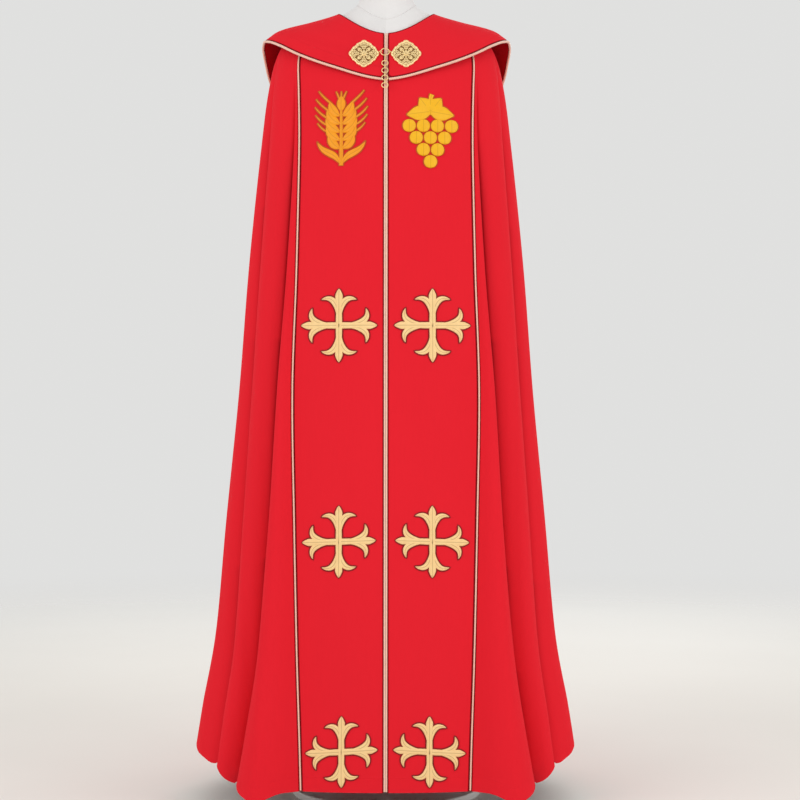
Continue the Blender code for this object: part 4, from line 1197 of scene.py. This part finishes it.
def plate_shapes():
    """Ground, border, inner line, a flower of eight petals with a boss, rings and corner scrolls."""
    turn = np.linspace(0, 2 * math.pi, 241)
    border = np.stack([np.cos(turn), np.sin(turn)], axis=-1) * plate_reach(turn)[:, None]
    bright = [
        plate_wire(border * 0.94, 0.0020, 0.0010, beads=28, columns=12),
        plate_wire(border * 0.80, 0.0008, 0.0015),
        plate_wire(circle_path(0, 0, 0.0026), 0.0015, 0.0022, columns=12),
    ]
    for k in range(8):
        turn = k * math.pi / 4
        way = np.array([math.cos(turn), math.sin(turn)])
        spine = way * np.linspace(0.0030, 0.0092, 14)[:, None]
        bright.append(petal(spine, (0.0010, 0.0021, 0.0024, 0.0016, 0.0004), 0.0022, 0.3, 12))
        wide = 0.0130 if k % 2 == 0 else 0.0118
        bright.append(plate_wire(circle_path(*(way * wide), 0.0030), 0.0009, 0.0015))
        bright.append(plate_wire(circle_path(*(way * wide), 0.0006, 13), 0.0008, 0.0014, columns=8))
    for k in range(4):
        turn = k * math.pi / 2
        way, aside = np.array([math.cos(turn), math.sin(turn)]), np.array([-math.sin(turn), math.cos(turn)])
        for side in (1, -1):
            centre = way * 0.0176 + aside * side * 0.0036
            bright.append(plate_wire(spiral_path(*centre, 0.0034, turn, side), 0.0008, 0.0015))
            centre = way * 0.0105 + aside * side * 0.0098
            bright.append(plate_wire(spiral_path(*centre, 0.0026, turn + math.pi, -side), 0.0008, 0.0015))
        bright.append(plate_wire(circle_path(*(way * 0.0216), 0.0012, 15), 0.0011, 0.0014, columns=8))
    return plate_ground(), bright


def on_collar(shapes, side):
    """Lays flat shapes on the collar, round the middle of that side's plate."""
    middle = (PLATE_OFFSET + side * CLASP_SHIFT, PLATE_HEIGHT)
    return lay(shapes, side, middle, collar_surface, collar_surface, 0.0006, (0.5, 0.5))


for side, word in ((1, "right"), (-1, "left")):
    ground, bright = plate_shapes()
    parts = on_collar([ground] + bright, side)
    slots = [(1, 1, 1)] + [(0, 0, 0)] * len(bright)
    made = make_piece(
        f"brass_plate_{word}", parts, [clasp_metal, clasp_ground], slots, [f"clasp_plate_{word}"]
    )
    print(made.name, triangles(made), "triangles")

# %% [markdown]
# The ring lies across the opening, tilted with the slope of the collar, and the eyes stand square to
# it. Below hang four rings with a narrow link before each. The CAD model sets the same sizes, so the
# wires only become rounder here. The rings and links ride on the chain's own body, which can swing.

# %% Ring, eyes and chain
WIRE, CLASP_RING, EYE, CHAIN_RING, CHAIN_LINK, FIRST_LINK = 0.0009, 0.0084, 0.0022, 0.0060, 0.0053, 0.0090
slope = math.radians(28)
sideways = np.array([1.0, 0.0, 0.0])
down = np.array([0.0, -math.sin(slope), -math.cos(slope)])
out = np.array([0.0, -math.cos(slope), math.sin(slope)])


def wire_ring(name, centre, across, along, half_across, half_along, body="root"):
    """An oval of wire: centre + across cos(t) + along sin(t), with a round section."""
    t = np.linspace(0, 2 * math.pi, 48, endpoint=False)[:, None]
    path = centre + np.cos(t) * across * half_across + np.sin(t) * along * half_along
    tangent = -np.sin(t) * across * half_across + np.cos(t) * along * half_along
    tangent /= np.linalg.norm(tangent, axis=1, keepdims=True)
    up = np.cross(across, along)
    side = np.cross(tangent, up)
    turn = np.linspace(0, 2 * math.pi, 12, endpoint=False)[None, :, None]
    rings = path[:, None] + WIRE * (np.cos(turn) * side[:, None] + np.sin(turn) * up)
    run = np.linspace(0, 2 * math.pi * half_along, 49)[:, None]
    part = skin(rings, np.linspace(0, 2 * math.pi * WIRE, 13)[None, :], run, wrap_rows=True)
    return make_piece(f"brass_{name}", [part], [clasp_metal], [(0,)], [name], body)


a, b = find_on(base_surface, np.array([0.006]), np.array([PLATE_HEIGHT]), 0.05, 1.5)
centre = base_surface(a, b)[0] * np.array([0, 1, 1]) + out * 0.0090 + sideways * CLASP_SHIFT
wire_ring("clasp_ring", centre, sideways, down, CLASP_RING, CLASP_RING)
for side, word in ((1, "right"), (-1, "left")):
    wire_ring(f"clasp_eye_{word}", centre + sideways * side * CLASP_RING, sideways, out, EYE, EYE)
clear = 2 * WIRE + 2 * TOUCH
hang = CLASP_RING
for number in range(1, 5):
    link = FIRST_LINK if number == 1 else CHAIN_LINK
    hang += link - clear
    wire_ring(f"chain_link_{number}", centre + down * hang, out, down, 0.0034, link, "chain")
    hang += link - clear + CHAIN_RING
    wire_ring(f"chain_ring_{number}", centre + down * hang, sideways, down, CHAIN_RING, CHAIN_RING, "chain")
    hang += CHAIN_RING
print("chain hangs", round(hang, 4), "m below the ring's middle")

# %% [markdown]
# ## The dress form and its stand
#
# The cope hangs on a padded torso with a white neck. Its shoulders are the cloth's own inner face less
# a millimetre, so that the cloth rests on them all over. Rings of the neck, the shoulders and the torso
# are joined by the same smooth curve as the cloth's levels. A seam runs round the foot of the neck.

# %% Dress form
FORM_NECK = (
    (1.6560, 1.6600, 1.6620, 0.0490, 0.0480, 0.0500, 2.0),
    (1.6500, 1.6540, 1.6560, 0.0535, 0.0525, 0.0550, 2.0),
    (1.5850, 1.6040, 1.6150, 0.0540, 0.0550, 0.0560, 2.0),
    (1.5480, 1.5880, 1.6000, 0.0610, 0.0670, 0.0590, 2.0),
    (1.5310, 1.5765, 1.5870, 0.0770, 0.0770, 0.0635, 2.0),
)
FORM_TORSO = (
    (1.4000, 1.4600, 1.4200, 0.2060, 0.1330, 0.1340, 2.3),
    (1.3200, 1.3500, 1.3300, 0.1940, 0.1380, 0.1380, 2.3),
    (1.2100, 1.2200, 1.2100, 0.1720, 0.1260, 0.1220, 2.2),
    (1.0800, 1.0800, 1.0800, 0.1550, 0.1130, 0.1060, 2.2),
    (0.9200, 0.9200, 0.9200, 0.1700, 0.1200, 0.1270, 2.2),
    (0.8300, 0.8300, 0.8300, 0.1700, 0.1160, 0.1260, 2.2),
    (0.8000, 0.8000, 0.8000, 0.1620, 0.1090, 0.1190, 2.2),
)
NECK_SEAM = 3.0
around = np.linspace(0, 2 * math.pi, 144, endpoint=False)
rings = [ring_point(around, *row) for row in FORM_NECK]
for level in (0, 0.5, 1, 1.5, 2):
    under = np.full(len(around), -(CLOTH + SEAT_GAP))
    rings.append(offset(base_surface, around, np.full(len(around), float(level)), under))
rings += [ring_point(around, *row) for row in FORM_TORSO]
spots = np.concatenate(
    [np.linspace(0, 2.8, 30), np.linspace(2.8, 3.2, 42)[1:], np.linspace(3.2, 16, 170)[1:]]
)
body_rings = smooth(np.arange(len(rings)), np.array(rings), spots)
groove = 0.0010 * np.exp(-(((spots - NECK_SEAM) / 0.035) ** 2))[:, None]
groove = groove - 0.0006 * np.exp(-(((spots - NECK_SEAM + 0.10) / 0.05) ** 2))[:, None]
reach = np.linalg.norm(body_rings[..., :2], axis=-1)
body_rings[..., :2] *= (1 - groove / reach)[..., None]
closing = np.concatenate([body_rings, body_rings[:, :1]], axis=1)
part = skin(body_rings, arc(closing, 1), arc(closing, 0).mean(axis=1)[:, None])
form = make_piece("form_body", [part], [form_knit.material], [(0, 0, 0)], ["dress_form"], sharp=60)
print("form", triangles(form), "triangles, shoulders", round(float(np.ptp(body_rings[..., 0])), 3), "m")

# %% [markdown]
# The stand is a flat round foot, a pole and a flange under the torso. Each is a profile of radius and
# height carried round the upright axis, with small arcs at the edges so that they catch the light.


# %% Stand
def corner(radius, height, size, start, end, count=7):
    """A quarter arc between two directions, in degrees, round a centre in the profile."""
    turn = np.radians(np.linspace(start, end, count))
    return [(radius + size * math.cos(t), height + size * math.sin(t)) for t in turn]


def lathe(name, profile, node):
    """Points (r cos t, r sin t, z) for each radius and height of the profile."""
    profile = np.array(profile)
    turn = np.linspace(0, 2 * math.pi, 96, endpoint=False)[None, :]
    radius, height = profile[:, :1], profile[:, 1:]
    rings = np.stack(np.broadcast_arrays(radius * np.cos(turn), radius * np.sin(turn), height), axis=-1)
    run = arc(profile, 0)[:, None]
    part = skin(rings, np.linspace(0, 1, 97)[None, :], run)
    made = make_piece(name, [part], [stand_paint.material], [(0, 0, 0)], [node])
    print(name, triangles(made), "triangles")
    return made


foot = [(0.0005, 0.040)] + corner(0.0220, 0.0380, 0.002, 90, 0) + corner(0.0270, 0.0170, 0.003, 180, 270)
foot += [(0.1, 0.0142)] + corner(0.1865, 0.0105, 0.0035, 90, 0) + corner(0.1875, 0.0025, 0.0025, 0, -90)
lathe("round_foot", foot + [(0.1, 0.0), (0.0005, 0.0)], "stand_foot")
pole = [(0.0005, 0.7997)] + corner(0.0540, 0.7987, 0.001, 90, 0) + corner(0.0535, 0.7952, 0.0015, 0, -90)
pole += corner(0.0155, 0.7907, 0.003, 90, 180) + [(0.0125, 0.4), (0.0125, 0.0415), (0.0110, 0.0403), (0.0005, 0.0403)]
lathe("upright_pole", pole, "stand_pole")

# %% [markdown]
# ## What the cloth is
#
# Cloth is cut flat and then hung. The size of each sheet's cut was printed as it was made: the mantle
# halves and the bands by what they measure along their rows and columns, the collar by its outer edge
# and depth. The loop below only reads the mantle and band sizes back.

for word in ("left", "right"):
    made, area, width, length = mantles[word]
    made, area, width, length = bands[word]

# %% [markdown]
# ## Floor and light
#
# A plain pale floor and large soft lights, as in a studio: one from the upper left in front, a weaker
# one from the right, one from behind for the back, and a pale surround that fills the folds. Further
# out the floor fades into the surround, as a studio's paper roll does, so that no horizon shows.

# %% Floor
floor_paint = Finish("floor_paint", Specular_IOR_Level=0.1)
clouds = floor_paint.noise(floor_paint.place(), 1.4, 5.0)
floor_paint.feed(Base_Color=floor_paint.mix(clouds, (0.70, 0.68, 0.64, 1), (0.76, 0.74, 0.70, 1)))
floor_paint.feed(Roughness=clouds * 0.1 + 0.7)
reach = floor_paint.node("ShaderNodeVectorMath", {"operation": "LENGTH"}, {0: floor_paint.place()}, output="Value")
far = ((reach - 1.3) / 3.7).larger(0).smaller(1)
floor_paint.feed(Alpha=1 - far * far * (3 - 2 * far))
floor_mesh = bpy.data.meshes.new("floor")
half = 6.0
corners = [(-half, -half, -0.0004), (half, -half, -0.0004), (half, half, -0.0004), (-half, half, -0.0004)]
floor_mesh.from_pydata(corners, [], [(0, 1, 2, 3)])
floor_mesh.materials.append(floor_paint.material)
floor = bpy.data.objects.new("floor", floor_mesh)
scene.collection.objects.link(floor)
floor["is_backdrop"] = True
print("floor", 2 * half, "m across")


# %% Light
def soft_light(name, place, aim, size, watts):
    """A square area light at a place, turned to face its aim."""
    data = bpy.data.lights.new(name, "AREA")
    data.size = size
    data.energy = watts
    made = bpy.data.objects.new(name, data)
    made.location = place
    way = np.array(aim, float) - np.array(place, float)
    yaw = math.atan2(way[0], -way[1])
    pitch = math.atan2(math.hypot(way[0], way[1]), -way[2])
    made.rotation_euler = (pitch, 0, yaw + math.pi)
    scene.collection.objects.link(made)


soft_light("key", (-3.0, -2.6, 2.4), (0, 0, 0.9), 2.4, 52)
soft_light("fill", (3.1, -2.4, 1.6), (0, 0, 0.8), 2.4, 46)
soft_light("back", (0.6, 3.6, 2.8), (0, 0, 0.9), 2.4, 60)
world = bpy.data.worlds.new("studio")
world.use_nodes = True
surround = world.node_tree.nodes["Background"]
surround.inputs["Color"].default_value = (0.90, 0.90, 0.89, 1)
surround.inputs["Strength"].default_value = 0.83
scene.world = world

# %% [markdown]
# ## Sizes at the end
#
# The fine model must keep the imported model's size, so the box of what is shown is worked out and
# printed, as the imported one was at the start.

# %% Sizes and finish
seen_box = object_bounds()
boxes = {"cad": cad_box, "visual": seen_box}
boxes = {key: [[float(c) for c in corner] for corner in box] for key, box in boxes.items()}
print("visual box", [[round(c, 4) for c in corner] for corner in boxes["visual"]])
